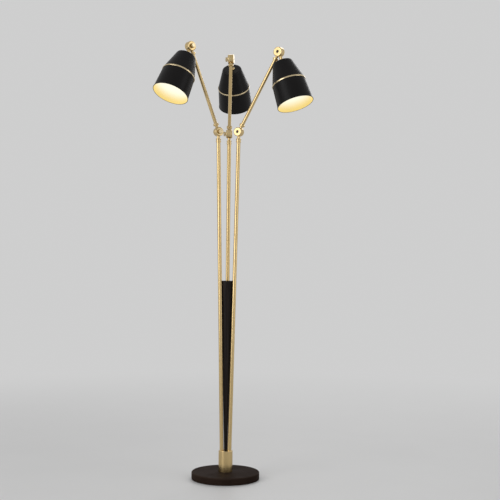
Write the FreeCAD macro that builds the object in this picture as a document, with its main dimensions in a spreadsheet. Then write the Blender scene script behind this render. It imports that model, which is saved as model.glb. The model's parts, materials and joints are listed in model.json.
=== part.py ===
import FreeCAD, Part
import Sketcher
import math
import os

# A free-standing floor lamp with three arms. Lengths are in millimetres, angles in degrees.
# The origin is on the floor under the centre of the round base, with Z up. The front of
# the lamp faces -Y, and +X is on the right of someone who looks at the front.
#
# Three tubes rise from a turned socket on the weighted base and spread a little, with a
# tapered spike standing between them. A knuckle on each tube carries an arm that tilts.
# A second knuckle turns on the arm's tip and carries a shade, which tilts too.

SIZES = {
    # round base
    "base_diameter": 250,
    "base_height": 27,
    "cover_wall": 1.2,
    "cover_lift": 1.2,
    "cover_edge_radius": 4,
    "pad_thickness": 2.5,
    "pad_inset": 7,
    "weight_gap": 0.4,
    "bolt_recess_diameter": 46,
    "bolt_recess_depth": 11,
    "wire_hole_diameter": 8,
    "wire_hole_offset": 13,
    "cord_channel_width": 9.2,
    # cord entry at the back of the base
    "cord_hole_diameter": 6.4,
    "grommet_diameter": 9,
    "grommet_length": 9,
    "grommet_flange_diameter": 13,
    "grommet_flange_thickness": 1.6,
    "grommet_height": 8.2,
    # bolt that holds the socket to the base
    "base_bolt_diameter": 10,
    "base_bolt_head_width": 17,
    "base_bolt_head_height": 6,
    "base_bolt_engagement": 16,
    "washer_diameter": 22,
    "washer_thickness": 2,
    # turned socket
    "socket_diameter": 52,
    "socket_height": 77,
    "socket_chamfer": 1,
    "chamber_diameter": 38,
    "chamber_height": 12,
    "rod_seat_depth": 50,
    # rods
    "rod_diameter": 14.5,
    "rod_wall": 1.5,
    "foot_circle_radius": 16.5,
    "hub_circle_radius": 43.5,
    "hub_height": 1278,
    # spike between the rods
    "spike_foot_diameter": 12,
    "spike_height": 626,
    "spike_chamfer": 1,
    "spike_gap": 0.8,
    "stud_diameter": 6,
    "stud_depth_in_socket": 20,
    "stud_depth_in_spike": 40,
    # knuckles
    "hub_barrel_diameter": 33,
    "head_barrel_diameter": 36,
    "barrel_width": 23,
    "barrel_round": 3,
    "seam": 0.4,
    "stem_room": 0.5,
    "stem_root": 8,
    "neck_diameter": 11.5,
    "pivot_bolt_diameter": 6,
    "pivot_head_diameter": 11,
    "pivot_head_height": 4,
    "pivot_head_recess": 1.5,
    "pivot_key_width": 5,
    "pivot_key_depth": 2.5,
    # knurled knobs
    "knob_diameter": 17,
    "knob_length": 8,
    "knob_boss_diameter": 12,
    "knob_boss_length": 1.6,
    "knob_face_thickness": 2.5,
    "knob_chamfer": 1.2,
    "flute_diameter": 2.4,
    "flute_stand_off": 0.5,
    "flute_count": 16,
    # ferrules on the rods' top ends
    "ferrule_start": 25,
    "ferrule_length": 14,
    "ferrule_diameter": 19,
    "ferrule_waist_diameter": 16.6,
    "ferrule_bead_height": 4,
    "ferrule_lip": 2.5,
    "ferrule_chamfer": 0.8,
    # arms
    "arm_length": 324,
    "arm_diameter": 12.5,
    "arm_wall": 1,
    "collar_start": 23,
    "collar_thickness": 9,
    "collar_diameter": 20,
    "collar_chamfer": 1.4,
    "spigot_length": 20,
    # shades
    "shade_drop": 42.5,
    "shade_cap_radius": 36,
    "shade_shoulder_radius": 6,
    "shade_upper_height": 80.5,
    "shade_ring_radius": 60.5,
    "ring_height": 5,
    "ring_thickness": 1.6,
    "ring_chamfer": 0.9,
    "shade_lower_height": 81,
    "shade_mouth_radius": 65.5,
    "shade_wall": 1.1,
    "rim_bead_height": 2.4,
    "rim_bead_thickness": 0.9,
    # stem, locknut and lamp holder in the shade
    "shade_flange_diameter": 22,
    "shade_flange_thickness": 3,
    "shade_thread_diameter": 10,
    "locknut_width": 15,
    "locknut_height": 4,
    "holder_gap": 1,
    "holder_grip": 8,
    "holder_length": 47,
    "holder_diameter": 28,
    "holder_skirt_diameter": 34,
    "holder_skirt_height": 9,
    "holder_skirt_drop": 6,
    "holder_wire_hole_diameter": 6,
    # bulb
    "bulb_cap_diameter": 14,
    "bulb_cap_length": 24,
    "bulb_contact_diameter": 7,
    "bulb_contact_height": 2,
    "bulb_insulator_height": 2,
    "bulb_globe_diameter": 45,
    "bulb_centre_drop": 32,
    "bulb_neck_length": 20.8,
    "bulb_neck_end_diameter": 31,
    # clearances
    "running_gap": 0.05,
    "face_gap": 0.1,
    # how the arms and shades stand
    "azimuth_step": 120,
    "back_azimuth": 88,
    "left_tilt": 21.3,
    "left_swivel": 11.8,
    "left_bend": 131.5,
    "right_tilt": 30.8,
    "right_swivel": -4.2,
    "right_bend": 127.8,
    "back_tilt": 21.1,
    "back_swivel": -4.7,
    "back_bend": 117.6,
}

ORIGIN = FreeCAD.Vector(0, 0, 0)
X_AXIS = FreeCAD.Vector(1, 0, 0)
Y_AXIS = FreeCAD.Vector(0, 1, 0)
Z_AXIS = FreeCAD.Vector(0, 0, 1)
SIDES = ("left", "right", "back")
# Two places closer than this are the same.
TOUCHING = 1e-4

doc = FreeCAD.newDocument("floor_lamp")
dims = doc.addObject("Spreadsheet::Sheet", "dims")
for row, (alias, number) in enumerate(SIZES.items(), start=1):
    dims.set("A%d" % row, alias)
    dims.set("B%d" % row, str(number))
    dims.setAlias("B%d" % row, alias)
doc.recompute()

pieces = []

# A sketch's lines start from a rough polygon, and its sizes from a rough length, until
# their expressions are set.
ROUGH_MIDDLE = dims.base_diameter / 5
ROUGH_RADIUS = ROUGH_MIDDLE * 4 / 5
ROUGH_LENGTH = ROUGH_MIDDLE / 5


# --- helpers -------------------------------------------------------------------------


def moved(x, y, z):
    """A placement that only shifts."""
    return FreeCAD.Placement(FreeCAD.Vector(x, y, z), FreeCAD.Rotation())


def turned(axis, angle):
    """A placement that only turns about an axis through the origin."""
    return FreeCAD.Placement(ORIGIN, FreeCAD.Rotation(axis, angle))


def new_body(label):
    """An empty body for one piece."""
    body = doc.addObject("PartDesign::Body", label)
    body.Label = label
    return body


def sketch_on(body, name, plane):
    """An empty sketch on one of the body's own origin planes."""
    sketch = body.newObject("Sketcher::SketchObject", name)
    support = [f for f in body.Origin.OriginFeatures if f.Role == plane][0]
    sketch.AttachmentSupport = (support, [""])
    sketch.MapMode = "FlatFace"
    return sketch


def draw_outline(sketch, corners):
    """A closed outline of straight edges through corners given as pairs of expressions."""
    count = len(corners)
    rough = []
    for index in range(count):
        angle = 2 * math.pi * index / count
        across = ROUGH_MIDDLE + ROUGH_RADIUS * math.cos(angle)
        up = ROUGH_MIDDLE + ROUGH_RADIUS * math.sin(angle)
        rough.append(FreeCAD.Vector(across, up, 0))
    for index in range(count):
        sketch.addGeometry(Part.LineSegment(rough[index], rough[(index + 1) % count]))
    for index in range(count):
        sketch.addConstraint(Sketcher.Constraint("Coincident", index, 2, (index + 1) % count, 1))
    for index, (across, up) in enumerate(corners):
        for kind, axis, expression in (("DistanceX", -2, across), ("DistanceY", -1, up)):
            if expression == "0":
                sketch.addConstraint(Sketcher.Constraint("PointOnObject", index, 1, axis))
                continue
            size = Sketcher.Constraint(kind, -1, 1, index, 1, ROUGH_LENGTH)
            number = sketch.addConstraint(size)
            sketch.setExpression("Constraints[%d]" % number, expression)


def draw_circle(sketch, radius, centre_across="0"):
    """A circle on the sketch's horizontal axis, at its origin unless shifted."""
    middle = FreeCAD.Vector(ROUGH_LENGTH / 2, 0, 0)
    index = sketch.addGeometry(Part.Circle(middle, Z_AXIS, ROUGH_LENGTH))
    if centre_across == "0":
        sketch.addConstraint(Sketcher.Constraint("Coincident", index, 3, -1, 1))
    else:
        sketch.addConstraint(Sketcher.Constraint("PointOnObject", index, 3, -1))
        size = Sketcher.Constraint("DistanceX", -1, 1, index, 3, ROUGH_LENGTH / 2)
        shift = sketch.addConstraint(size)
        sketch.setExpression("Constraints[%d]" % shift, centre_across)
    number = sketch.addConstraint(Sketcher.Constraint("Radius", index, ROUGH_LENGTH))
    sketch.setExpression("Constraints[%d]" % number, radius)


def revolve(body, name, corners, plane="XZ_Plane", kind="Revolution"):
    """Turns an outline about the vertical axis of its sketch, to add or to cut."""
    sketch = sketch_on(body, name + "_outline", plane)
    draw_outline(sketch, corners)
    feature = body.newObject("PartDesign::" + kind, name)
    feature.Profile = sketch
    feature.ReferenceAxis = (sketch, ["V_Axis"])
    feature.Angle = 360
    return feature


def turned_piece(label, corners):
    """A body turned about its own Z axis from one outline."""
    body = new_body(label)
    revolve(body, label + "_turning", corners)
    return body


def tube(label, outer_radius, inner_radius, length):
    """A straight round tube or ring that stands on its own XY plane."""
    body = new_body(label)
    sketch = sketch_on(body, label + "_section", "XY_Plane")
    draw_circle(sketch, outer_radius)
    draw_circle(sketch, inner_radius)
    pad = body.newObject("PartDesign::Pad", label + "_length")
    pad.Profile = sketch
    pad.setExpression("Length", length)
    return body


def rounded(body, feature, edges, radius):
    """Rounds the given edges of the body's last feature."""
    fillet = body.newObject("PartDesign::Fillet", feature.Name + "_round")
    fillet.Base = (feature, edges)
    fillet.setExpression("Radius", radius)
    return fillet


def circles(feature, radius, centre):
    """The names of a feature's circular edges of one radius about one centre."""
    names = []
    for index, edge in enumerate(feature.Shape.Edges, start=1):
        curve = edge.Curve
        if not isinstance(curve, Part.Circle) or abs(curve.Radius - radius) > TOUCHING:
            continue
        if (curve.Center - centre).Length < TOUCHING:
            names.append("Edge%d" % index)
    return names


def cylinder(label, radius, height, placement):
    """A plain cylinder along its own Z axis."""
    solid = doc.addObject("Part::Cylinder", label)
    solid.setExpression("Radius", radius)
    solid.setExpression("Height", height)
    solid.Placement = placement
    return solid


def hexagon(label, width, height, placement):
    """A six-sided bar along its own Z axis, sized across its flats."""
    solid = doc.addObject("Part::Prism", label)
    solid.Polygon = 6
    solid.setExpression("Circumradius", "%s / 2 / cos(30)" % width)
    solid.setExpression("Height", height)
    solid.Placement = placement
    return solid


def joined(label, first, second):
    """One solid from two."""
    result = doc.addObject("Part::Fuse", label)
    result.Base = first
    result.Tool = second
    return result


def drilled(label, solid, tools):
    """A solid with the tools' shapes cut out of it."""
    result = doc.addObject("Part::Cut", label)
    result.Base = solid
    if len(tools) == 1:
        result.Tool = tools[0]
        return result
    together = doc.addObject("Part::MultiFuse", label + "_cutters")
    together.Shapes = tools
    result.Tool = together
    return result


def keep(piece, label, placement=None):
    """Names a finished piece, puts it in its place and adds it to the lamp."""
    piece.Label = label
    if placement is not None:
        piece.Placement = placement
    pieces.append(piece)
    return piece


# --- frames that the pieces stand in -------------------------------------------------

SOCKET_TOP = dims.base_height + dims.socket_height
# From the socket's top to its upper pivot each rod rises, spreads and so runs this far.
HUB_RISE = dims.hub_height - SOCKET_TOP
HUB_SPREAD = dims.hub_circle_radius - dims.foot_circle_radius
HUB_RUN = math.hypot(HUB_SPREAD, HUB_RISE)
ROD_LEAN = math.degrees(math.atan2(HUB_SPREAD, HUB_RISE))
# The same as expressions for the features.
RISE = "(dims.hub_height - dims.base_height - dims.socket_height)"
SPREAD = "(dims.hub_circle_radius - dims.foot_circle_radius)"
ROD_TOP_DROP = "(dims.ferrule_start + dims.ferrule_lip)"
ROD_LENGTH = "hypot(%s; %s) + dims.rod_seat_depth - %s" % (SPREAD, RISE, ROD_TOP_DROP)
AZIMUTHS = {
    "left": dims.back_azimuth + dims.azimuth_step,
    "right": dims.back_azimuth + 2 * dims.azimuth_step,
    "back": dims.back_azimuth,
}
POSTURES = {
    "left": (dims.left_tilt, dims.left_swivel, dims.left_bend),
    "right": (dims.right_tilt, dims.right_swivel, dims.right_bend),
    "back": (dims.back_tilt, dims.back_swivel, dims.back_bend),
}


def hub_frame(side):
    """At a rod's upper pivot: X points out from the lamp, Y along the pivot, Z up."""
    return turned(Z_AXIS, AZIMUTHS[side]) * moved(dims.hub_circle_radius, 0, dims.hub_height)


def rod_frame(side):
    """The same pivot, with Z up along the leaning rod."""
    return hub_frame(side) * turned(Y_AXIS, ROD_LEAN)


def arm_frame(side):
    """The same pivot, with Z out along the arm."""
    return hub_frame(side) * turned(Y_AXIS, POSTURES[side][0])


def head_frame(side):
    """At the arm's upper pivot: Z goes on along the arm and Y along the pivot."""
    return arm_frame(side) * moved(0, 0, dims.arm_length) * turned(Z_AXIS, POSTURES[side][1])


def shade_frame(side):
    """The same pivot, with Z out along the shade's axis, towards its mouth."""
    return head_frame(side) * turned(Y_AXIS, POSTURES[side][2])


# --- base ----------------------------------------------------------------------------

BASE_RADIUS = "dims.base_diameter / 2"
WEIGHT_HEIGHT = "dims.base_height - dims.cover_wall - dims.pad_thickness"


def make_base_pad():
    """The soft disc under the weight, which touches the floor."""
    radius = BASE_RADIUS + " - dims.pad_inset"
    keep(cylinder("base_pad", radius, "dims.pad_thickness", moved(0, 0, 0)), "base_pad")


def make_base_weight():
    """The cast disc, with a recess for the bolt and a channel for the cord."""
    radius = BASE_RADIUS + " - dims.cover_wall - dims.weight_gap"
    hole = "dims.base_bolt_diameter / 2 + dims.weight_gap"
    recess = "dims.bolt_recess_diameter / 2"
    corners = [
        (recess, "0"),
        (radius, "0"),
        (radius, WEIGHT_HEIGHT + " - dims.cover_edge_radius"),
        (radius + " - dims.cover_edge_radius", WEIGHT_HEIGHT),
        (hole, WEIGHT_HEIGHT),
        (hole, "dims.bolt_recess_depth"),
        (recess, "dims.bolt_recess_depth"),
    ]
    disc = turned_piece("base_weight_disc", corners)
    disc.Placement = moved(0, 0, dims.pad_thickness)
    channel = doc.addObject("Part::Box", "cord_channel")
    channel.setExpression("Width", BASE_RADIUS)
    channel.setExpression("Length", "dims.cord_channel_width")
    channel.setExpression("Height", "dims.grommet_height + dims.cord_channel_width / 2")
    channel.Placement = moved(-dims.cord_channel_width / 2, 0, 0)
    keep(drilled("base_weight", disc, [channel, wire_hole("base_weight")]), "base_weight")


def wire_hole(owner):
    """The hole beside the bolt through which the wires reach the base."""
    return cylinder(
        owner + "_wire_hole",
        "dims.wire_hole_diameter / 2",
        "dims.base_height",
        moved(0, dims.wire_hole_offset, 0),
    )


def make_base_cover():
    """The spun shell over the weight."""
    outer = BASE_RADIUS
    inner = BASE_RADIUS + " - dims.cover_wall"
    top = "dims.base_height - dims.cover_lift"
    under_top = top + " - dims.cover_wall"
    hole = "dims.base_bolt_diameter / 2 + dims.running_gap"
    corners = [
        (inner, "0"),
        (outer, "0"),
        (outer, top),
        (hole, top),
        (hole, under_top),
        (inner, under_top),
    ]
    body = new_body("base_cover_shell")
    shell = revolve(body, "cover_turning", corners)
    doc.recompute()
    height = dims.base_height - dims.cover_lift
    rim = circles(shell, dims.base_diameter / 2, FreeCAD.Vector(0, 0, height))
    edge = rounded(body, shell, rim, "dims.cover_edge_radius")
    doc.recompute()
    inner_radius = dims.base_diameter / 2 - dims.cover_wall
    rim = circles(edge, inner_radius, FreeCAD.Vector(0, 0, height - dims.cover_wall))
    rounded(body, edge, rim, "dims.cover_edge_radius - dims.cover_wall")
    body.Placement = moved(0, 0, dims.cover_lift)
    cord_hole = cylinder(
        "cover_cord_hole",
        "dims.grommet_diameter / 2 + dims.running_gap",
        BASE_RADIUS,
        moved(0, dims.base_diameter / 4, dims.grommet_height) * turned(X_AXIS, -90),
    )
    keep(drilled("base_cover", body, [cord_hole, wire_hole("base_cover")]), "base_cover")


def make_cord_grommet():
    """The bush at the back of the base that the mains cord passes through."""
    bore = "dims.cord_hole_diameter / 2"
    neck = "dims.grommet_diameter / 2"
    flange = "dims.grommet_flange_diameter / 2"
    whole = "dims.grommet_length + dims.grommet_flange_thickness"
    corners = [
        (bore, "0"),
        (neck, "0"),
        (neck, "dims.grommet_length"),
        (flange, "dims.grommet_length"),
        (flange, whole),
        (bore, whole),
    ]
    start = dims.base_diameter / 2 - dims.grommet_length
    place = moved(0, start, dims.grommet_height) * turned(X_AXIS, -90)
    keep(turned_piece("cord_grommet", corners), "cord_grommet", place)


def make_base_bolt():
    """The bolt and washer that pull the socket down on the base."""
    washer_seat = dims.pad_thickness + dims.bolt_recess_depth
    washer_foot = washer_seat - dims.washer_thickness
    washer = tube(
        "base_washer",
        "dims.washer_diameter / 2",
        "dims.base_bolt_diameter / 2 + dims.running_gap",
        "dims.washer_thickness",
    )
    keep(washer, "base_washer", moved(0, 0, washer_foot))
    head_foot = moved(0, 0, washer_foot - dims.base_bolt_head_height)
    width = "dims.base_bolt_head_width"
    head = hexagon("base_bolt_head", width, "dims.base_bolt_head_height", head_foot)
    reach = "dims.base_height + dims.chamber_height + dims.base_bolt_engagement"
    seat = "dims.pad_thickness + dims.bolt_recess_depth"
    shank = cylinder(
        "base_bolt_shank",
        "dims.base_bolt_diameter / 2",
        "%s - (%s - dims.washer_thickness - dims.base_bolt_head_height)" % (reach, seat),
        head_foot,
    )
    keep(joined("base_bolt", head, shank), "base_bolt")


# --- socket, rods and spike ----------------------------------------------------------


def rod_hole(side, name, radius, depth, length):
    """A cutter on a rod's own axis, whose lower end is so far below the socket's top."""
    place = rod_frame(side) * moved(0, 0, -HUB_RUN - depth)
    return cylinder("socket_%s_%s" % (name, side), radius, length, place)


def make_rod_socket():
    """The turned socket, with a leaning hole for each rod over a chamber for the wires."""
    outer = "dims.socket_diameter / 2"
    chamber = "dims.chamber_diameter / 2"
    bolt = "dims.base_bolt_diameter / 2 + dims.running_gap"
    bolt_end = "dims.chamber_height + dims.base_bolt_engagement + dims.face_gap"
    stud = "dims.stud_diameter / 2 + dims.running_gap"
    stud_end = "dims.socket_height - dims.stud_depth_in_socket - dims.face_gap"
    corners = [
        (chamber, "0"),
        (outer, "0"),
        (outer, "dims.socket_height - dims.socket_chamfer"),
        (outer + " - dims.socket_chamfer", "dims.socket_height"),
        (stud, "dims.socket_height"),
        (stud, stud_end),
        ("0", stud_end),
        ("0", bolt_end),
        (bolt, bolt_end),
        (bolt, "dims.chamber_height"),
        (chamber, "dims.chamber_height"),
    ]
    block = turned_piece("rod_socket_block", corners)
    block.Placement = moved(0, 0, dims.base_height)
    rod_radius = "dims.rod_diameter / 2 + dims.running_gap"
    rod_cut = "dims.rod_seat_depth + dims.rod_diameter"
    wire_radius = "dims.wire_hole_diameter / 2"
    wire_start = dims.socket_height - dims.chamber_height / 2
    wire_cut = "dims.socket_height - dims.rod_seat_depth"
    cutters = []
    for side in SIDES:
        cutters.append(rod_hole(side, "rod", rod_radius, dims.rod_seat_depth, rod_cut))
        cutters.append(rod_hole(side, "wire", wire_radius, wire_start, wire_cut))
    keep(drilled("rod_socket", block, cutters), "rod_socket")


def make_rods():
    """The three tubes, each from its seat in the socket to the ferrule under its knuckle."""
    outer = "dims.rod_diameter / 2"
    for side in SIDES:
        label = "rod_" + side
        rod = tube(label, outer, outer + " - dims.rod_wall", ROD_LENGTH)
        keep(rod, label, rod_frame(side) * moved(0, 0, -HUB_RUN - dims.rod_seat_depth))


def make_spike():
    """The turned spike, whose flat top just clears the rods around it, and its stud."""
    rod_place = "dims.foot_circle_radius + %s * dims.spike_height / %s" % (SPREAD, RISE)
    top = rod_place + " - dims.rod_diameter / 2 - dims.spike_gap"
    stud = "dims.stud_diameter / 2 + dims.running_gap"
    stud_end = "dims.stud_depth_in_spike + dims.face_gap"
    corners = [
        (stud, "0"),
        ("dims.spike_foot_diameter / 2", "0"),
        (top, "dims.spike_height - dims.spike_chamfer"),
        (top + " - dims.spike_chamfer", "dims.spike_height"),
        ("0", "dims.spike_height"),
        ("0", stud_end),
        (stud, stud_end),
    ]
    keep(turned_piece("spike", corners), "spike", moved(0, 0, SOCKET_TOP))
    pin = cylinder(
        "spike_stud",
        "dims.stud_diameter / 2",
        "dims.stud_depth_in_socket + dims.stud_depth_in_spike",
        moved(0, 0, SOCKET_TOP - dims.stud_depth_in_socket),
    )
    keep(pin, "spike_stud")


# --- knuckles ------------------------------------------------------------------------

STEM_START = "dims.stem_root"
NECK = "dims.neck_diameter / 2"


def ferrule_stem():
    """A neck that widens to a cup with two beads, over a spigot that fills the rod's bore."""
    outer = "dims.ferrule_diameter / 2"
    cut = outer + " - dims.ferrule_chamfer"
    waist = "dims.ferrule_waist_diameter / 2"
    bore = "dims.rod_diameter / 2 + dims.running_gap"
    spigot = "dims.rod_diameter / 2 - dims.rod_wall - dims.running_gap"
    top = "dims.ferrule_start"
    foot = "dims.ferrule_start + dims.ferrule_length"
    floor = "dims.ferrule_start + dims.ferrule_lip"
    tip = "dims.ferrule_start + dims.spigot_length"
    return [
        ("0", STEM_START),
        (NECK, STEM_START),
        (NECK, top),
        (cut, top),
        (outer, top + " + dims.ferrule_chamfer"),
        (outer, top + " + dims.ferrule_bead_height"),
        (waist, top + " + dims.ferrule_bead_height + dims.ferrule_chamfer"),
        (waist, foot + " - dims.ferrule_bead_height - dims.ferrule_chamfer"),
        (outer, foot + " - dims.ferrule_bead_height"),
        (outer, foot + " - dims.ferrule_chamfer"),
        (cut, foot),
        (bore, foot),
        (bore, floor),
        (spigot, floor),
        (spigot, tip),
        ("0", tip),
    ]


def collar_stem():
    """A neck with a collar that faces the arm's tube, and a spigot inside the tube."""
    outer = "dims.collar_diameter / 2"
    cut = outer + " - dims.collar_chamfer"
    spigot = "dims.arm_diameter / 2 - dims.arm_wall - dims.running_gap"
    top = "dims.collar_start"
    foot = "dims.collar_start + dims.collar_thickness"
    tip = foot + " + dims.spigot_length"
    return [
        ("0", STEM_START),
        (NECK, STEM_START),
        (NECK, top),
        (cut, top),
        (outer, top + " + dims.collar_chamfer"),
        (outer, foot + " - dims.collar_chamfer"),
        (cut, foot),
        (spigot, foot),
        (spigot, tip),
        ("0", tip),
    ]


def shade_stem():
    """A neck with a flange that sits on the shade's cap, and a thread through the cap."""
    flange = "dims.shade_flange_diameter / 2"
    thread = "dims.shade_thread_diameter / 2"
    seat = "dims.shade_drop"
    tip = seat + " + dims.shade_wall + dims.locknut_height + dims.holder_gap + dims.holder_grip"
    return [
        ("0", STEM_START),
        (NECK, STEM_START),
        (NECK, seat + " - dims.shade_flange_thickness"),
        (flange, seat + " - dims.shade_flange_thickness"),
        (flange, seat),
        (thread, seat),
        (thread, tip),
        ("0", tip),
    ]


def knuckle_half(label, where, stem_corners, with_head_recess):
    """Half a barrel on the +Y side of its pivot, with a stem along Z on the middle plane."""
    diameter = where + "_barrel_diameter"
    radius = "dims.%s / 2" % diameter
    hole = "dims.pivot_bolt_diameter / 2 + dims.running_gap"
    inner = "dims.seam / 2"
    outer = "dims.barrel_width / 2"
    corners = [(hole, inner), (radius, inner), (radius, outer)]
    if with_head_recess:
        recess = "dims.pivot_head_diameter / 2 + dims.running_gap"
        floor = outer + " - dims.pivot_head_height - dims.pivot_head_recess"
        corners += [(recess, outer), (recess, floor), (hole, floor)]
    else:
        corners += [(hole, outer)]
    body = new_body(label)
    barrel = revolve(body, label + "_barrel", corners, "XY_Plane")
    doc.recompute()
    rim_centre = FreeCAD.Vector(0, dims.barrel_width / 2, 0)
    rim = circles(barrel, dims.get(diameter) / 2, rim_centre)
    rounded(body, barrel, rim, "dims.barrel_round")
    stem = revolve(body, label + "_stem", stem_corners)
    doc.recompute()
    whole = stem.Shape.Volume
    clear = radius + " + dims.stem_room"
    room = [("0", inner), (clear, inner), (clear, "-" + outer), ("0", "-" + outer)]
    cut = revolve(body, label + "_room", room, "XY_Plane", "Groove")
    doc.recompute()
    if not cut.Shape.Volume < whole:
        raise ValueError(label + ": the room for the other half cut nothing")
    return body


def pivot_bolt(label):
    """A socket-head bolt along Z, from the outside of its head."""
    head = "dims.pivot_head_diameter / 2"
    shank = "dims.pivot_bolt_diameter / 2"
    barrel = "dims.barrel_width - dims.pivot_head_recess + dims.face_gap"
    length = barrel + " + dims.knob_boss_length + dims.knob_length - dims.knob_face_thickness"
    tip = length + " - dims.face_gap"
    corners = [
        ("0", "0"),
        (head, "0"),
        (head, "dims.pivot_head_height"),
        (shank, "dims.pivot_head_height"),
        (shank, tip),
        ("0", tip),
    ]
    blank = turned_piece(label + "_blank", corners)
    key = hexagon(label + "_key", "dims.pivot_key_width", "dims.pivot_key_depth", moved(0, 0, 0))
    return drilled(label, blank, [key])


def knob(label):
    """A fluted thumb nut along Z, standing on its boss. Its bolt's hole stops below its face."""
    radius = "dims.knob_diameter / 2"
    boss = "dims.knob_boss_diameter / 2"
    hole = "dims.pivot_bolt_diameter / 2 + dims.running_gap"
    top = "dims.knob_boss_length + dims.knob_length"
    floor = top + " - dims.knob_face_thickness"
    corners = [
        (hole, "0"),
        (boss, "0"),
        (boss, "dims.knob_boss_length"),
        (radius + " - dims.knob_chamfer / 2", "dims.knob_boss_length"),
        (radius, "dims.knob_boss_length + dims.knob_chamfer / 2"),
        (radius, top + " - dims.knob_chamfer"),
        (radius + " - dims.knob_chamfer", top),
        ("0", top),
        ("0", floor),
        (hole, floor),
    ]
    body = new_body(label)
    turning = revolve(body, label + "_turning", corners)
    doc.recompute()
    whole = turning.Shape.Volume
    sketch = sketch_on(body, label + "_flute_outline", "XY_Plane")
    draw_circle(sketch, "dims.flute_diameter / 2", radius + " + dims.flute_stand_off")
    flute = body.newObject("PartDesign::Pocket", label + "_flute")
    flute.Profile = sketch
    flute.Type = "ThroughAll"
    flute.Reversed = True
    doc.recompute()
    if not flute.Shape.Volume < whole:
        raise ValueError(label + ": the flute cut nothing")
    ring = body.newObject("PartDesign::PolarPattern", label + "_flutes")
    ring.Originals = [flute]
    ring.Axis = (sketch, ["N_Axis"])
    ring.Angle = 360
    ring.setExpression("Occurrences", "dims.flute_count")
    body.Tip = ring
    return body


def keep_clamp(prefix, side, frame):
    """The bolt through a knuckle and the knob that tightens it."""
    along = turned(X_AXIS, -90)
    half = dims.barrel_width / 2
    bolt_label = "%s_bolt_%s" % (prefix, side)
    knob_label = "%s_knob_%s" % (prefix, side)
    head_place = frame * moved(0, dims.pivot_head_recess - half, 0) * along
    knob_place = frame * moved(0, half + dims.face_gap, 0) * along
    keep(pivot_bolt(bolt_label), bolt_label, head_place)
    keep(knob(knob_label), knob_label, knob_place)


# --- arms ----------------------------------------------------------------------------


def make_arm(side):
    """One arm with its own half of the hub knuckle and the clamp of that knuckle."""
    keep(
        knuckle_half("hub_knuckle_" + side, "hub", ferrule_stem(), False),
        "hub_knuckle_" + side,
        rod_frame(side) * turned(Y_AXIS, 180),
    )
    frame = arm_frame(side)
    keep(
        knuckle_half("arm_knuckle_" + side, "hub", collar_stem(), True),
        "arm_knuckle_" + side,
        frame * turned(Z_AXIS, 180),
    )
    keep_clamp("hub", side, frame)
    start = dims.collar_start + dims.collar_thickness + dims.face_gap
    label = "arm_tube_" + side
    outer = "dims.arm_diameter / 2"
    ends = "2 * (dims.collar_start + dims.collar_thickness + dims.face_gap)"
    arm = tube(label, outer, outer + " - dims.arm_wall", "dims.arm_length - " + ends)
    keep(arm, label, frame * moved(0, 0, start))


def make_head_knuckle(side):
    """The knuckle on the arm's tip: its lower half turns on the arm, its upper half tilts."""
    frame = head_frame(side)
    keep(
        knuckle_half("head_knuckle_" + side, "head", collar_stem(), True),
        "head_knuckle_" + side,
        frame * turned(X_AXIS, 180),
    )
    keep_clamp("head", side, frame)
    keep(
        knuckle_half("shade_knuckle_" + side, "head", shade_stem(), False),
        "shade_knuckle_" + side,
        shade_frame(side),
    )


# --- shades --------------------------------------------------------------------------

RING_TOP = "dims.shade_upper_height"
RING_FOOT = "dims.shade_upper_height + dims.ring_height"
SHADE_LENGTH = "dims.shade_upper_height + dims.ring_height + dims.shade_lower_height"


def make_shade_shell(side):
    """The spun shell: a rounded shoulder, a steep upper cone and a nearly straight skirt."""
    label = "shade_shell_" + side
    corners = [
        ("0", "0"),
        ("dims.shade_cap_radius", "0"),
        ("dims.shade_ring_radius", RING_TOP),
        ("dims.shade_ring_radius", RING_FOOT),
        ("dims.shade_mouth_radius", SHADE_LENGTH),
        ("0", SHADE_LENGTH),
    ]
    body = new_body(label)
    blank = revolve(body, label + "_blank", corners)
    doc.recompute()
    shoulder = circles(blank, dims.shade_cap_radius, ORIGIN)
    smooth = rounded(body, blank, shoulder, "dims.shade_shoulder_radius")
    doc.recompute()
    length = dims.shade_upper_height + dims.ring_height + dims.shade_lower_height
    mouth = []
    for index, face in enumerate(smooth.Shape.Faces, start=1):
        if isinstance(face.Surface, Part.Plane) and abs(face.CenterOfMass.z - length) < TOUCHING:
            mouth.append("Face%d" % index)
    hollow = body.newObject("PartDesign::Thickness", label + "_wall")
    hollow.Base = (smooth, mouth)
    hollow.setExpression("Value", "dims.shade_wall")
    hollow.Reversed = True
    hollow.Join = "Intersection"
    thread = "dims.shade_thread_diameter / 2 + dims.running_gap"
    hole = [("0", "-dims.shade_wall"), (thread, "-dims.shade_wall")]
    hole += [(thread, "2 * dims.shade_wall"), ("0", "2 * dims.shade_wall")]
    revolve(body, label + "_stem_hole", hole, "XZ_Plane", "Groove")
    mouth_out = "dims.shade_mouth_radius - dims.shade_wall / 2"
    bead_out = "dims.shade_mouth_radius + dims.rim_bead_thickness"
    bead_top = SHADE_LENGTH + " - dims.rim_bead_height"
    bead = [
        (mouth_out, SHADE_LENGTH),
        (mouth_out, bead_top),
        ("dims.shade_mouth_radius", bead_top),
        (bead_out, bead_top + " + dims.rim_bead_thickness"),
        (bead_out, SHADE_LENGTH),
    ]
    revolve(body, label + "_rim", bead)
    keep(body, label, shade_frame(side) * moved(0, 0, dims.shade_drop))


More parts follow.
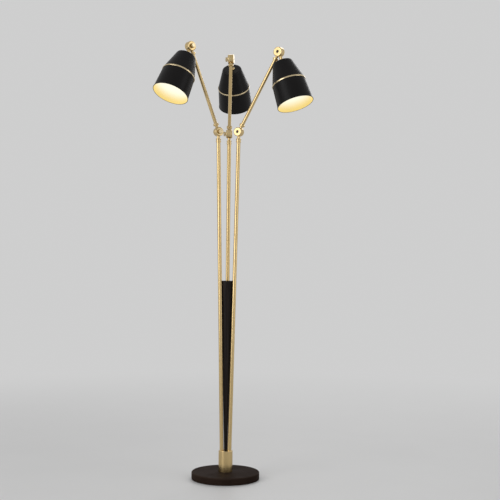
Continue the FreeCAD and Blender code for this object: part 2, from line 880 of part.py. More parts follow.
def make_shade_ring(side):
    """The bright band that sits on the straight land between cone and skirt."""
    inner = "dims.shade_ring_radius + dims.running_gap"
    outer = "dims.shade_ring_radius + dims.ring_thickness"
    cut = outer + " - dims.ring_chamfer"
    corners = [
        (inner, "0"),
        (cut, "0"),
        (outer, "dims.ring_chamfer"),
        (outer, "dims.ring_height - dims.ring_chamfer"),
        (cut, "dims.ring_height"),
        (inner, "dims.ring_height"),
    ]
    place = shade_frame(side) * moved(0, 0, dims.shade_drop + dims.shade_upper_height)
    keep(turned_piece("shade_ring_" + side, corners), "shade_ring_" + side, place)


def make_locknut(side):
    """The nut that clamps the shade's cap against the flange of its stem."""
    label = "shade_locknut_" + side
    blank = hexagon(label + "_blank", "dims.locknut_width", "dims.locknut_height", moved(0, 0, 0))
    thread = "dims.shade_thread_diameter / 2 + dims.running_gap"
    bore = cylinder(label + "_bore", thread, "dims.locknut_height", moved(0, 0, 0))
    place = shade_frame(side) * moved(0, 0, dims.shade_drop + dims.shade_wall)
    keep(drilled(label, blank, [bore]), label, place)


HOLDER_DROP = dims.shade_drop + dims.shade_wall + dims.locknut_height + dims.holder_gap


def make_lamp_holder(side):
    """The hollow holder: its neck grips the stem, and a wider skirt surrounds its mouth."""
    outer = "dims.holder_diameter / 2"
    skirt = "dims.holder_skirt_diameter / 2"
    thread = "dims.shade_thread_diameter / 2 + dims.running_gap"
    inside = "dims.bulb_cap_diameter / 2 + dims.running_gap"
    floor = "dims.holder_length - dims.bulb_cap_length - dims.running_gap"
    wires = "dims.holder_wire_hole_diameter / 2"
    skirt_foot = "dims.holder_length - dims.holder_skirt_drop"
    skirt_top = skirt_foot + " - dims.holder_skirt_height"
    grip = "dims.holder_grip + dims.face_gap"
    corners = [
        (thread, "0"),
        ("dims.locknut_width / 2", "0"),
        (outer, grip),
        (outer, skirt_top),
        (skirt, skirt_top),
        (skirt, skirt_foot),
        (outer, skirt_foot),
        (outer, "dims.holder_length"),
        (inside, "dims.holder_length"),
        (inside, floor),
        (wires, floor),
        (wires, grip),
        (thread, grip),
    ]
    place = shade_frame(side) * moved(0, 0, HOLDER_DROP)
    keep(turned_piece("lamp_holder_" + side, corners), "lamp_holder_" + side, place)


def make_bulb(side):
    """The bulb: a metal cap with its contact, and a round globe on a short neck."""
    frame = shade_frame(side) * moved(0, 0, HOLDER_DROP + dims.holder_length)
    cap = "dims.bulb_cap_diameter / 2"
    contact = "dims.bulb_contact_diameter / 2"
    corners = [
        ("0", "0"),
        (contact, "0"),
        (contact, "dims.bulb_contact_height"),
        (cap, "dims.bulb_contact_height + dims.bulb_insulator_height"),
        (cap, "dims.bulb_cap_length"),
        ("0", "dims.bulb_cap_length"),
    ]
    cap_label = "bulb_cap_" + side
    keep(turned_piece(cap_label, corners), cap_label, frame * moved(0, 0, -dims.bulb_cap_length))
    label = "bulb_glass_" + side
    globe = doc.addObject("Part::Sphere", label + "_globe")
    globe.setExpression("Radius", "dims.bulb_globe_diameter / 2")
    globe.Placement = moved(0, 0, dims.bulb_centre_drop)
    neck = doc.addObject("Part::Cone", label + "_neck")
    neck.setExpression("Radius1", cap)
    neck.setExpression("Radius2", "dims.bulb_neck_end_diameter / 2")
    neck.setExpression("Height", "dims.bulb_neck_length")
    keep(joined(label, globe, neck), label, frame)


# --- the lamp ------------------------------------------------------------------------


def build():
    """Makes every piece of the lamp."""
    make_base_pad()
    make_base_weight()
    make_base_cover()
    make_cord_grommet()
    make_base_bolt()
    make_rod_socket()
    make_rods()
    make_spike()
    for side in SIDES:
        make_arm(side)
        make_head_knuckle(side)
        make_shade_shell(side)
        make_shade_ring(side)
        make_locknut(side)
        make_lamp_holder(side)
        make_bulb(side)
    doc.recompute()


def check():
    """Stops if a feature failed or a piece isn't one valid solid."""
    for item in doc.Objects:
        if "Invalid" in item.State or "Error" in item.State:
            raise ValueError("%s did not build: %s" % (item.Label, item.State))
    for piece in pieces:
        shape = piece.Shape
        if shape.isNull() or not shape.isValid() or len(shape.Solids) != 1:
            raise ValueError("%s is not one valid solid" % piece.Label)


def write():
    """Writes one file for each piece."""
    os.makedirs("parts", exist_ok=True)
    for piece in pieces:
        piece.Shape.exportStep("parts/%s.step" % piece.Label)
    print("%d pieces written" % len(pieces))


build()
check()
write()
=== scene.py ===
"""The looks of a floor lamp with three arms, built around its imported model.

Sizes in the classes below are millimetres and degrees, as a lamp maker writes them, and every
mesh is in metres. Each turned piece is drawn as an outline in its own frame, with Z along its
axis, and is put in its place by that frame, which the model's joints and nodes give.
"""

import json
import logging
import math
from dataclasses import dataclass, field
from enum import Enum
from typing import Callable, Sequence, Union

import bmesh
import bpy
from mathutils import Matrix, Vector


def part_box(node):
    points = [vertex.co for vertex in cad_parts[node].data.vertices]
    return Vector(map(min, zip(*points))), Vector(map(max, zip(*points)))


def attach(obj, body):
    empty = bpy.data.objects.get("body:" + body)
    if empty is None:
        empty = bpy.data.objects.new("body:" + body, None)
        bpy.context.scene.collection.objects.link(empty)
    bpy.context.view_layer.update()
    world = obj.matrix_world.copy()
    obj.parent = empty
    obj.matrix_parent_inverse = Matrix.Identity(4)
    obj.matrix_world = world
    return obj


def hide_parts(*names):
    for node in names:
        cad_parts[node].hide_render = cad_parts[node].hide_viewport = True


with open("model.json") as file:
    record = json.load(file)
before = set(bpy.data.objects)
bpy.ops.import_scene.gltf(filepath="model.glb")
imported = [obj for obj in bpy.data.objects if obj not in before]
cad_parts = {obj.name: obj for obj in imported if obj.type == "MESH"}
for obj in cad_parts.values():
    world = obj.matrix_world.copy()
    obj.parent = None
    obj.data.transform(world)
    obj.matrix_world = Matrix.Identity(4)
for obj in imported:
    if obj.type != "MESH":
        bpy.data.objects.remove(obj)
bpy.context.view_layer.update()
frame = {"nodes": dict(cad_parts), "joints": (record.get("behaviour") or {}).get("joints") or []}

MM = 0.001
LOG = logging.getLogger("floor_lamp")

Socket = bpy.types.NodeSocket
Value = Union[Socket, float]
Colour = tuple[float, float, float]
Inputs = Sequence[tuple[str, str, object]]


class Side(Enum):
    """The three arms of the lamp."""

    LEFT = "left"
    RIGHT = "right"
    BACK = "back"


class Marks(Enum):
    """The way the tool marks run on a metal surface."""

    DRAWN = "along the axis"
    TURNED = "around the axis"
    BARREL = "around the pivot on the barrel and around the stem elsewhere"


# --- node trees ----------------------------------------------------------------------


class Wiring:
    """Adds nodes to one tree and links them."""

    def __init__(self, tree: bpy.types.NodeTree) -> None:
        """Starts on a tree.

        Args:
            tree: the shader or geometry tree to work in.
        """
        self.tree = tree

    def add(self, kind: str, **settings: object) -> bpy.types.Node:
        """Adds a node and sets its properties.

        Args:
            kind: the node's type name.
            **settings: property values.

        Returns:
            The new node.
        """
        node = self.tree.nodes.new(kind)
        for name, setting in settings.items():
            setattr(node, name, setting)
        return node

    def feed(self, socket: Socket, value: object) -> None:
        """Links a socket to another one, or sets its value."""
        if isinstance(value, bpy.types.NodeSocket):
            self.tree.links.new(value, socket)
        else:
            socket.default_value = value

    def math(self, operation: str, *values: Value, clamp: bool = False) -> Socket:
        """One Math node.

        Args:
            operation: the operation's name.
            *values: one to three sockets or numbers.
            clamp: True keeps the result from 0 to 1.

        Returns:
            The result socket.
        """
        node = self.add("ShaderNodeMath", operation=operation, use_clamp=clamp)
        for index, value in enumerate(values):
            self.feed(node.inputs[index], value)
        return node.outputs[0]

    def noise(self, vector: Socket, scale: float, detail: float = 2.0, rough: float = 0.5) -> Socket:
        """Fractal noise between 0 and 1.

        Args:
            vector: where the noise is read.
            scale: its frequency.
            detail: the number of octaves.
            rough: how strong the fine octaves are.

        Returns:
            The noise's value socket.
        """
        node = self.add("ShaderNodeTexNoise", noise_dimensions="3D")
        self.feed(node.inputs["Vector"], vector)
        self.feed(node.inputs["Scale"], scale)
        self.feed(node.inputs["Detail"], detail)
        self.feed(node.inputs["Roughness"], rough)
        return node.outputs[0]

    def spread(
        self, value: Socket, low: float, high: float, to_low: float = 0.0, to_high: float = 1.0
    ) -> Socket:
        """Maps a value smoothly from one range to another, clamped.

        Args:
            value: the socket to map.
            low: the value that gives to_low.
            high: the value that gives to_high.
            to_low: the lower result.
            to_high: the upper result.

        Returns:
            The mapped socket.
        """
        node = self.add("ShaderNodeMapRange", interpolation_type="SMOOTHSTEP")
        for index, number in enumerate((value, low, high, to_low, to_high)):
            self.feed(node.inputs[index], number)
        return node.outputs[0]

    def blend(self, share: Value, first: object, second: object) -> Socket:
        """Mixes two colours.

        Args:
            share: how much of the second colour shows.
            first: a colour or a socket.
            second: a colour or a socket.

        Returns:
            The mixed colour socket.
        """
        node = self.add("ShaderNodeMix", data_type="RGBA")
        self.feed(node.inputs[0], share)
        for socket, colour in ((node.inputs[6], first), (node.inputs[7], second)):
            self.feed(socket, colour if isinstance(colour, bpy.types.NodeSocket) else (*colour, 1.0))
        return node.outputs[2]

    def parts(self, vector: Socket) -> tuple[Socket, Socket, Socket]:
        """The X, Y and Z of a vector."""
        node = self.add("ShaderNodeSeparateXYZ")
        self.feed(node.inputs[0], vector)
        return node.outputs[0], node.outputs[1], node.outputs[2]

    def vector(self, x: Value, y: Value, z: Value) -> Socket:
        """A vector from three numbers."""
        node = self.add("ShaderNodeCombineXYZ")
        for socket, value in zip(node.inputs, (x, y, z)):
            self.feed(socket, value)
        return node.outputs[0]

    def length(self, first: Value, second: Value) -> Socket:
        """The length of a pair of coordinates."""
        squares = [self.math("POWER", value, 2.0) for value in (first, second)]
        return self.math("SQRT", self.math("ADD", *squares))

    def use(self, group: bpy.types.NodeTree, **values: object) -> bpy.types.Node:
        """Places a shader group.

        Args:
            group: the group's tree.
            **values: its inputs by name, with _ for a space.

        Returns:
            The group node.
        """
        node = self.add("ShaderNodeGroup", node_tree=group)
        for name, value in values.items():
            if isinstance(value, tuple) and len(value) == 3:
                value = (*value, 1.0)
            self.feed(node.inputs[name.replace("_", " ")], value)
        return node


def new_group(
    name: str, inputs: Inputs, outputs: Sequence[tuple[str, str]]
) -> tuple[Wiring, bpy.types.Node, bpy.types.Node]:
    """An empty shader group with named sockets.

    Args:
        name: the group's name.
        inputs: name, type and default of each input.
        outputs: name and type of each output.

    Returns:
        The wiring of the group, its input node and its output node.
    """
    tree = bpy.data.node_groups.new(name, "ShaderNodeTree")
    for label, kind, default in inputs:
        socket = tree.interface.new_socket(name=label, in_out="INPUT", socket_type="NodeSocket" + kind)
        if default is not None:
            socket.default_value = default
    for label, kind in outputs:
        tree.interface.new_socket(name=label, in_out="OUTPUT", socket_type="NodeSocket" + kind)
    wires = Wiring(tree)
    return wires, wires.add("NodeGroupInput"), wires.add("NodeGroupOutput")


def drawn_marks() -> bpy.types.NodeTree:
    """Fine lines along Z, as drawing and polishing leave them on a tube.

    Returns:
        The group, with outputs Height and Streak.
    """
    wires, given, made = new_group(
        "drawn_marks",
        [("Vector", "Vector", None), ("Spacing", "Float", 0.0004), ("Run", "Float", 0.03)],
        [("Height", "Float"), ("Streak", "Float")],
    )
    x, y, z = wires.parts(given.outputs["Vector"])
    across = [wires.math("DIVIDE", part, given.outputs["Spacing"]) for part in (x, y)]
    along = wires.math("DIVIDE", z, given.outputs["Run"])
    fine = wires.noise(wires.vector(across[0], across[1], along), 1.0, 3.0, 0.6)
    broad = wires.noise(wires.vector(across[0], across[1], along), 0.22, 2.0)
    wires.feed(made.inputs["Height"], fine)
    wires.feed(made.inputs["Streak"], broad)
    return wires.tree


def turned_marks() -> bpy.types.NodeTree:
    """Fine rings about Z, as a lathe leaves them.

    Returns:
        The group, with outputs Height and Streak.
    """
    wires, given, made = new_group(
        "turned_marks",
        [("Vector", "Vector", None), ("Spacing", "Float", 0.0004)],
        [("Height", "Float"), ("Streak", "Float")],
    )
    x, y, z = wires.parts(given.outputs["Vector"])
    spacing = given.outputs["Spacing"]
    radius = wires.math("DIVIDE", wires.length(x, y), spacing)
    along = wires.math("DIVIDE", z, spacing)
    angle = wires.math("ARCTAN2", y, x)
    wander = wires.math("SINE", angle)
    place = wires.vector(radius, along, wires.math("MULTIPLY", wander, 0.4))
    wires.feed(made.inputs["Height"], wires.noise(place, 1.0, 3.0, 0.6))
    wires.feed(made.inputs["Streak"], wires.noise(place, 0.22, 2.0))
    return wires.tree


def barrel_mask() -> bpy.types.NodeTree:
    """Where a knuckle's surface belongs to its barrel, whose axis is Y.

    Returns:
        The group, with output Mask.
    """
    wires, given, made = new_group(
        "barrel_mask",
        [("Vector", "Vector", None), ("Radius", "Float", 0.0157)],
        [("Mask", "Float")],
    )
    x, _, z = wires.parts(given.outputs["Vector"])
    wires.feed(made.inputs["Mask"], wires.math("LESS_THAN", wires.length(x, z), given.outputs["Radius"]))
    return wires.tree


def patina() -> bpy.types.NodeTree:
    """Slow changes of tone and gloss, with small handling spots.

    Returns:
        The group, with outputs Color and Gloss.
    """
    wires, given, made = new_group(
        "patina",
        [
            ("Vector", "Vector", None),
            ("Base", "Color", (0.8, 0.6, 0.3, 1.0)),
            ("Deep", "Color", (0.6, 0.4, 0.2, 1.0)),
            ("Cloud", "Float", 25.0),
            ("Spots", "Float", 140.0),
            ("Amount", "Float", 0.5),
        ],
        [("Color", "Color"), ("Gloss", "Float")],
    )
    spot_noise = wires.add("ShaderNodeTexNoise", noise_dimensions="3D")
    cloud_noise = wires.add("ShaderNodeTexNoise", noise_dimensions="3D")
    for node, name in ((cloud_noise, "Cloud"), (spot_noise, "Spots")):
        wires.feed(node.inputs["Vector"], given.outputs["Vector"])
        wires.feed(node.inputs["Scale"], given.outputs[name])
        wires.feed(node.inputs["Detail"], 3.0)
    cloud = wires.spread(cloud_noise.outputs[0], 0.35, 0.7)
    spots = wires.spread(spot_noise.outputs[0], 0.58, 0.75)
    cloud_share, spot_share = 0.7, 0.3
    clouded = wires.math("MULTIPLY", cloud, cloud_share)
    together = wires.math("ADD", clouded, wires.math("MULTIPLY", spots, spot_share))
    share = wires.math("MULTIPLY", together, given.outputs["Amount"], clamp=True)
    wires.feed(made.inputs["Color"], wires.blend(share, given.outputs["Base"], given.outputs["Deep"]))
    wires.feed(made.inputs["Gloss"], together)
    return wires.tree


def edge_wear() -> bpy.types.NodeTree:
    """Rubbed edges, broken up by noise, from the wear that a mesh carries.

    Returns:
        The group, with output Mask.
    """
    wires, given, made = new_group(
        "edge_wear",
        [("Vector", "Vector", None), ("Wear", "Float", 0.0), ("Amount", "Float", 0.5)],
        [("Mask", "Float")],
    )
    chip_scale, raggedness = 420.0, 0.8
    ragged = wires.noise(given.outputs["Vector"], chip_scale, 3.0, 0.65)
    lifted = wires.math("ADD", given.outputs["Wear"], wires.math("MULTIPLY", ragged, raggedness))
    rubbed = wires.spread(lifted, 1.15, 1.5)
    wires.feed(made.inputs["Mask"], wires.math("MULTIPLY", rubbed, given.outputs["Amount"]))
    return wires.tree


def paint_skin() -> bpy.types.NodeTree:
    """The fine pebble of a sprayed coat, with flecks of gloss.

    Returns:
        The group, with outputs Height and Fleck.
    """
    wires, given, made = new_group(
        "paint_skin",
        [("Vector", "Vector", None), ("Grain", "Float", 0.0008)],
        [("Height", "Float"), ("Fleck", "Float")],
    )
    frequency = wires.math("DIVIDE", 1.0, given.outputs["Grain"])
    cells = wires.add("ShaderNodeTexVoronoi", feature="SMOOTH_F1")
    wires.feed(cells.inputs["Vector"], given.outputs["Vector"])
    wires.feed(cells.inputs["Scale"], frequency)
    soft = wires.add("ShaderNodeTexNoise", noise_dimensions="3D")
    wires.feed(soft.inputs["Vector"], given.outputs["Vector"])
    wires.feed(soft.inputs["Scale"], wires.math("MULTIPLY", frequency, 0.35))
    wires.feed(soft.inputs["Detail"], 2.0)
    height = wires.math("ADD", wires.math("MULTIPLY", cells.outputs["Distance"], 0.6), soft.outputs[0])
    wires.feed(made.inputs["Height"], height)
    wires.feed(made.inputs["Fleck"], wires.spread(soft.outputs[0], 0.4, 0.65))
    return wires.tree


def wood_figure() -> bpy.types.NodeTree:
    """Pores and growth lines that run along Z, filled by lacquer.

    Returns:
        The group, with outputs Figure and Height.
    """
    wires, given, made = new_group(
        "wood_figure",
        [("Vector", "Vector", None), ("Pore", "Float", 0.0007), ("Run", "Float", 0.05)],
        [("Figure", "Float"), ("Height", "Float")],
    )
    x, y, z = wires.parts(given.outputs["Vector"])
    pore = given.outputs["Pore"]
    run = wires.math("DIVIDE", z, given.outputs["Run"])
    place = wires.vector(wires.math("DIVIDE", x, pore), wires.math("DIVIDE", y, pore), run)
    pores = wires.spread(wires.noise(place, 1.0, 3.0, 0.6), 0.55, 0.7)
    growth = wires.noise(place, 0.12, 2.0)
    wires.feed(made.inputs["Figure"], growth)
    wires.feed(made.inputs["Height"], wires.math("SUBTRACT", growth, pores))
    return wires.tree


def lamp_glow() -> bpy.types.NodeTree:
    """How the light of a bulb on the Z axis fades along the lining around it.

    Returns:
        The group, with output Light.
    """
    wires, given, made = new_group(
        "lamp_glow",
        [("Vector", "Vector", None), ("Bulb", "Float", 0.13), ("Reach", "Float", 0.05)],
        [("Light", "Float")],
    )
    x, y, z = wires.parts(given.outputs["Vector"])
    away = wires.length(wires.length(x, y), wires.math("SUBTRACT", z, given.outputs["Bulb"]))
    reach = wires.math("DIVIDE", away, given.outputs["Reach"])
    light = wires.math("DIVIDE", 1.0, wires.math("ADD", 1.0, wires.math("POWER", reach, 2.0)))
    dimmest, brightest = 0.27, 0.45
    wires.feed(made.inputs["Light"], wires.spread(light, dimmest, brightest))
    return wires.tree


class Groups:
    """The shader groups, each built once when it is first asked for."""

    built: dict[str, bpy.types.NodeTree] = {}

    @classmethod
    def get(cls, make: Callable[[], bpy.types.NodeTree]) -> bpy.types.NodeTree:
        """The group that a function makes."""
        if make.__name__ not in cls.built:
            cls.built[make.__name__] = make()
        return cls.built[make.__name__]


# --- finishes ------------------------------------------------------------------------


class Coat:
    """One material under construction: its wiring, its surface and its own coordinates."""

    def __init__(self, name: str, place: Matrix) -> None:
        """Starts a material.

        Args:
            name: the material's name.
            place: the frame of the piece, whose coordinates the patterns follow.
        """
        self.material = bpy.data.materials.new(name)
        self.material.use_nodes = True
        self.wires = Wiring(self.material.node_tree)
        self.surface = self.material.node_tree.nodes["Principled BSDF"]
        mapping = self.wires.add("ShaderNodeMapping", vector_type="TEXTURE")
        self.wires.feed(mapping.inputs["Vector"], self.wires.add("ShaderNodeTexCoord").outputs["Object"])
        mapping.inputs["Location"].default_value = place.to_translation()
        mapping.inputs["Rotation"].default_value = place.to_euler("XYZ")
        self.local = mapping.outputs["Vector"]

    def set(self, **values: object) -> None:
        """Sets or links sockets of the surface, by name with _ for a space."""
        for name, value in values.items():
            if isinstance(value, tuple) and len(value) == 3:
                value = (*value, 1.0)
            self.wires.feed(self.surface.inputs[name.replace("_", " ")], value)

    def bump(self, height: Socket, depth: float) -> None:
        """Raises the surface's normals by a height.

        Args:
            height: a height from 0 to 1.
            depth: what a height of 1 stands for, in millimetres.
        """
        node = self.wires.add("ShaderNodeBump")
        node.inputs["Distance"].default_value = depth * MM
        self.wires.feed(node.inputs["Height"], height)
        self.wires.feed(self.surface.inputs["Normal"], node.outputs[0])

    def toned(self, base: Colour, deep: Colour, cloud: float, spots: float, amount: float) -> bpy.types.Node:
        """Places the patina group.

        Args:
            base: the main tone.
            deep: the tone of the clouds and spots.
            cloud: the frequency of the clouds, in each metre.
            spots: the frequency of the spots.
            amount: how much of the deep tone shows.

        Returns:
            The group node, with outputs Color and Gloss.
        """
        group = Groups.get(patina)
        return self.wires.use(
            group, Vector=self.local, Base=base, Deep=deep, Cloud=cloud, Spots=spots, Amount=amount
        )

    def lit(self, bulb: float, reach: float, far: Colour, near: Colour) -> Socket:
        """The colour of a bulb's light on the surface.

        Args:
            bulb: how far up the axis the bulb is, in millimetres.
            reach: how far its light carries.
            far: the colour far from it.
            near: the colour near it.

        Returns:
            The colour socket.
        """
        glow = self.wires.use(Groups.get(lamp_glow), Vector=self.local, Bulb=bulb * MM, Reach=reach * MM)
        return self.wires.blend(glow.outputs["Light"], far, near)

    def worn(self, amount: float) -> Socket:
        """The mask of the rubbed edges."""
        carried = self.wires.add("ShaderNodeAttribute", attribute_type="GEOMETRY", attribute_name="wear")
        group = Groups.get(edge_wear)
        return self.wires.use(group, Vector=self.local, Wear=carried.outputs["Fac"], Amount=amount).outputs[0]


@dataclass(frozen=True)
class SatinMetal:
    """Drawn or turned metal with a satin polish."""

    name: str
    tone: Colour
    deep: Colour
    rubbed: Colour
    rough: float
    rough_range: float
    mark_depth: float
    spacing: float = 0.35
    run: float = 60.0
    wear: float = 0.6
    cloud_scale: float = 16.0
    spot_scale: float = 620.0
    clouds: float = 0.35
    streaks: float = 0.3

    def dress(self, label: str, place: Matrix, marks: Marks, barrel: float = 0.0) -> bpy.types.Material:
        """The material for one piece.

        Args:
            label: the piece's name.
            place: the piece's frame.
            marks: the way its tool marks run.
            barrel: the radius of the knuckle's barrel, in millimetres, where it has one.

        Returns:
            The material.
        """
        coat = Coat(f"{self.name}_{label}", place)
        wires = coat.wires
        height, streak = self.tool_marks(coat, marks, barrel)
        tone = coat.toned(self.tone, self.deep, self.cloud_scale, self.spot_scale, self.clouds)
        share = wires.spread(streak, 0.35, 0.75, 0.0, self.streaks)
        streaked = wires.blend(share, tone.outputs["Color"], self.deep)
        worn = coat.worn(self.wear)
        rough = wires.math("MULTIPLY_ADD", tone.outputs["Gloss"], self.rough_range, self.rough)
        rough = wires.math("MULTIPLY_ADD", wires.math("SUBTRACT", streak, 0.5), self.rough_range, rough)
        rough = wires.math("SUBTRACT", rough, wires.math("MULTIPLY", worn, self.rough * 0.5), clamp=True)
        coat.set(Base_Color=wires.blend(worn, streaked, self.rubbed), Metallic=1.0, Roughness=rough)
        coat.bump(height, self.mark_depth)
        return coat.material

    def tool_marks(self, coat: Coat, marks: Marks, barrel_radius: float) -> tuple[Socket, Socket]:
        """The height and the broad streaks of the tool marks."""
        wires = coat.wires
        if marks is Marks.DRAWN:
            group = wires.use(Groups.get(drawn_marks), Vector=coat.local, Spacing=self.spacing * MM,
                              Run=self.run * MM)
            return group.outputs["Height"], group.outputs["Streak"]
        stem = wires.use(Groups.get(turned_marks), Vector=coat.local, Spacing=self.spacing * MM)
        if marks is Marks.TURNED:
            return stem.outputs["Height"], stem.outputs["Streak"]
        x, y, z = wires.parts(coat.local)
        about_pivot = wires.vector(x, z, y)
        barrel = wires.use(Groups.get(turned_marks), Vector=about_pivot, Spacing=self.spacing * MM)
        mask = wires.use(Groups.get(barrel_mask), Vector=coat.local, Radius=(barrel_radius + 0.1) * MM)
        mixed = []
        for name in ("Height", "Streak"):
            node = wires.add("ShaderNodeMix", data_type="FLOAT")
            sources = (mask.outputs["Mask"], stem.outputs[name], barrel.outputs[name])
            for index, value in zip((0, 2, 3), sources):
                wires.feed(node.inputs[index], value)
            mixed.append(node.outputs[0])
        return mixed[0], mixed[1]


@dataclass(frozen=True)
class Lacquer:
    """A sprayed coat on metal or wood."""

    name: str
    tone: Colour
    deep: Colour
    rubbed: Colour
    rough: float
    rough_range: float
    grain: float
    grain_depth: float
    specular: float = 0.3
    wear: float = 0.35
    figured: bool = False
    cloud_scale: float = 14.0
    spot_scale: float = 180.0
    clouds: float = 0.8

    def dress(self, label: str, place: Matrix) -> bpy.types.Material:
        """The material for one piece.

        Args:
            label: the piece's name.
            place: the piece's frame.

        Returns:
            The material.
        """
        coat = Coat(f"{self.name}_{label}", place)
        wires = coat.wires
        tone = coat.toned(self.tone, self.deep, self.cloud_scale, self.spot_scale, self.clouds)
        skin = wires.use(Groups.get(paint_skin), Vector=coat.local, Grain=self.grain * MM)
        colour, height = tone.outputs["Color"], skin.outputs["Height"]
        if self.figured:
            wood = wires.use(Groups.get(wood_figure), Vector=coat.local)
            figure = wires.spread(wood.outputs["Figure"], 0.4, 0.65, 0.0, 0.8)
            colour = wires.blend(figure, colour, self.rubbed)
            height = wires.math("ADD", wires.math("MULTIPLY", height, 0.3), wood.outputs["Height"])
        worn = coat.worn(self.wear)
        rough = wires.math("MULTIPLY_ADD", tone.outputs["Gloss"], self.rough_range, self.rough)
        rough = wires.math("MULTIPLY_ADD", skin.outputs["Fleck"], -0.5 * self.rough_range, rough)
        rough = wires.math("SUBTRACT", rough, wires.math("MULTIPLY", worn, 0.12), clamp=True)
        coat.set(Base_Color=wires.blend(worn, colour, self.rubbed), Roughness=rough)
        coat.set(Specular_IOR_Level=self.specular)
        coat.bump(height, self.grain_depth)
        return coat.material


@dataclass(frozen=True)
class Lining:
    """The enamel inside a shade, whose pale look is mostly its bulb's light painted on it as a glow."""

    name: str
    tone: Colour
    deep: Colour
    near: Colour
    far: Colour
    bulb: float
    reach: float
    strength: float
    grain: float = 1.1
    cloud_scale: float = 18.0
    spot_scale: float = 200.0
    clouds: float = 0.5

    def dress(self, label: str, place: Matrix) -> bpy.types.Material:
        """The material for one shade's lining.

        Args:
            label: the piece's name.
            place: the shade's frame, with Z towards the mouth.

        Returns:
            The material.
        """
        coat = Coat(f"{self.name}_{label}", place)
        wires = coat.wires
        tone = coat.toned(self.tone, self.deep, self.cloud_scale, self.spot_scale, self.clouds)
        skin = wires.use(Groups.get(paint_skin), Vector=coat.local, Grain=self.grain * MM)
        rough = wires.math("MULTIPLY_ADD", tone.outputs["Gloss"], 0.12, 0.38)
        # Painted light: the bulb's light on the lining is an emission colour, pale near the bulb and yellow
        # farther from it, over a dark enamel tone.
        light = coat.lit(self.bulb, self.reach, self.far, self.near)
        coat.set(Base_Color=tone.outputs["Color"], Roughness=rough, Emission_Color=light)
        coat.set(Emission_Strength=self.strength)
        coat.bump(skin.outputs["Height"], 0.02)
        return coat.material


@dataclass(frozen=True)
class Frosted:
    """The frosted glass of a burning bulb."""

    name: str
    tone: Colour
    deep: Colour
    near: Colour
    far: Colour
    centre: float
    reach: float
    strength: float
    grain: float = 0.25
    cloud_scale: float = 60.0
    spot_scale: float = 700.0
    clouds: float = 0.4

    def dress(self, label: str, place: Matrix) -> bpy.types.Material:
        """The material for one bulb.

        Args:
            label: the piece's name.
            place: the frame of the bulb, with Z out of its cap.

        Returns:
            The material.
        """
        coat = Coat(f"{self.name}_{label}", place)
        wires = coat.wires
        tone = coat.toned(self.tone, self.deep, self.cloud_scale, self.spot_scale, self.clouds)
        skin = wires.use(Groups.get(paint_skin), Vector=coat.local, Grain=self.grain * MM)
        light = coat.lit(self.centre, self.reach, self.far, self.near)
        rough = wires.math("MULTIPLY_ADD", tone.outputs["Gloss"], 0.15, 0.4)
        coat.set(Base_Color=tone.outputs["Color"], Roughness=rough, Emission_Color=light)
        coat.set(Emission_Strength=self.strength, IOR=1.5)
        coat.bump(skin.outputs["Height"], 0.01)
        return coat.material


@dataclass(frozen=True)
class Rough:
    """Cast iron, felt, rubber or moulded plastic: a matt surface with its own grain."""

    name: str
    tone: Colour
    deep: Colour
    rough: float
    grain: float
    grain_depth: float
    metallic: float = 0.0
    sheen: float = 0.0
    cloud_scale: float = 40.0
    spot_scale: float = 420.0
    clouds: float = 1.0

    def dress(self, label: str, place: Matrix) -> bpy.types.Material:
        """The material for one piece.

        Args:
            label: the piece's name.
            place: the piece's frame.

        Returns:
            The material.
        """
        coat = Coat(f"{self.name}_{label}", place)
        wires = coat.wires
        tone = coat.toned(self.tone, self.deep, self.cloud_scale, self.spot_scale, self.clouds)
        skin = wires.use(Groups.get(paint_skin), Vector=coat.local, Grain=self.grain * MM)
        rough = wires.math("MULTIPLY_ADD", skin.outputs["Fleck"], -0.15, self.rough, clamp=True)
        coat.set(Base_Color=tone.outputs["Color"], Roughness=rough, Metallic=self.metallic)
        coat.set(Sheen_Weight=self.sheen)
        coat.bump(skin.outputs["Height"], self.grain_depth)
        return coat.material


BRASS = SatinMetal(
    "satin_brass", tone=(0.65, 0.485, 0.240), deep=(0.49, 0.345, 0.150), rubbed=(0.78, 0.62, 0.35),
    rough=0.21, rough_range=0.07, mark_depth=0.003,
)
BRIGHT_BRASS = SatinMetal(
    "bright_brass", tone=(0.66, 0.54, 0.335), deep=(0.55, 0.43, 0.25), rubbed=(0.80, 0.68, 0.45),
    rough=0.15, rough_range=0.06, mark_depth=0.002,
)
STEEL = SatinMetal(
    "zinc_steel", tone=(0.56, 0.57, 0.59), deep=(0.42, 0.43, 0.44), rubbed=(0.75, 0.75, 0.76),
    rough=0.32, rough_range=0.14, mark_depth=0.008,
)
BLACKENED = SatinMetal(
    "blackened_steel", tone=(0.100, 0.080, 0.058), deep=(0.052, 0.042, 0.032), rubbed=(0.26, 0.21, 0.15),
    rough=0.36, rough_range=0.12, mark_depth=0.006,
)
CAP_METAL = SatinMetal(
    "cap_metal", tone=(0.74, 0.73, 0.71), deep=(0.60, 0.59, 0.57), rubbed=(0.85, 0.85, 0.84),
    rough=0.26, rough_range=0.12, mark_depth=0.005,
)
SHADE_BLACK = Lacquer(
    "shade_black", tone=(0.0088, 0.0080, 0.0080), deep=(0.0062, 0.0056, 0.0056), rubbed=(0.030, 0.028, 0.028),
    rough=0.36, rough_range=0.08, grain=0.9, grain_depth=0.015, specular=0.11, wear=0.3,
)
BASE_BROWN = Lacquer(
    "base_brown", tone=(0.0250, 0.0152, 0.0112), deep=(0.0165, 0.0098, 0.0072), rubbed=(0.060, 0.043, 0.034),
    rough=0.62, rough_range=0.10, grain=1.1, grain_depth=0.02, specular=0.02, wear=0.4,
)
SPIKE_BLACK = Lacquer(
    "spike_black", tone=(0.0105, 0.0078, 0.0068), deep=(0.0065, 0.0049, 0.0044), rubbed=(0.023, 0.017, 0.014),
    rough=0.38, rough_range=0.12, grain=1.4, grain_depth=0.04, specular=0.10, wear=0.3, figured=True,
)
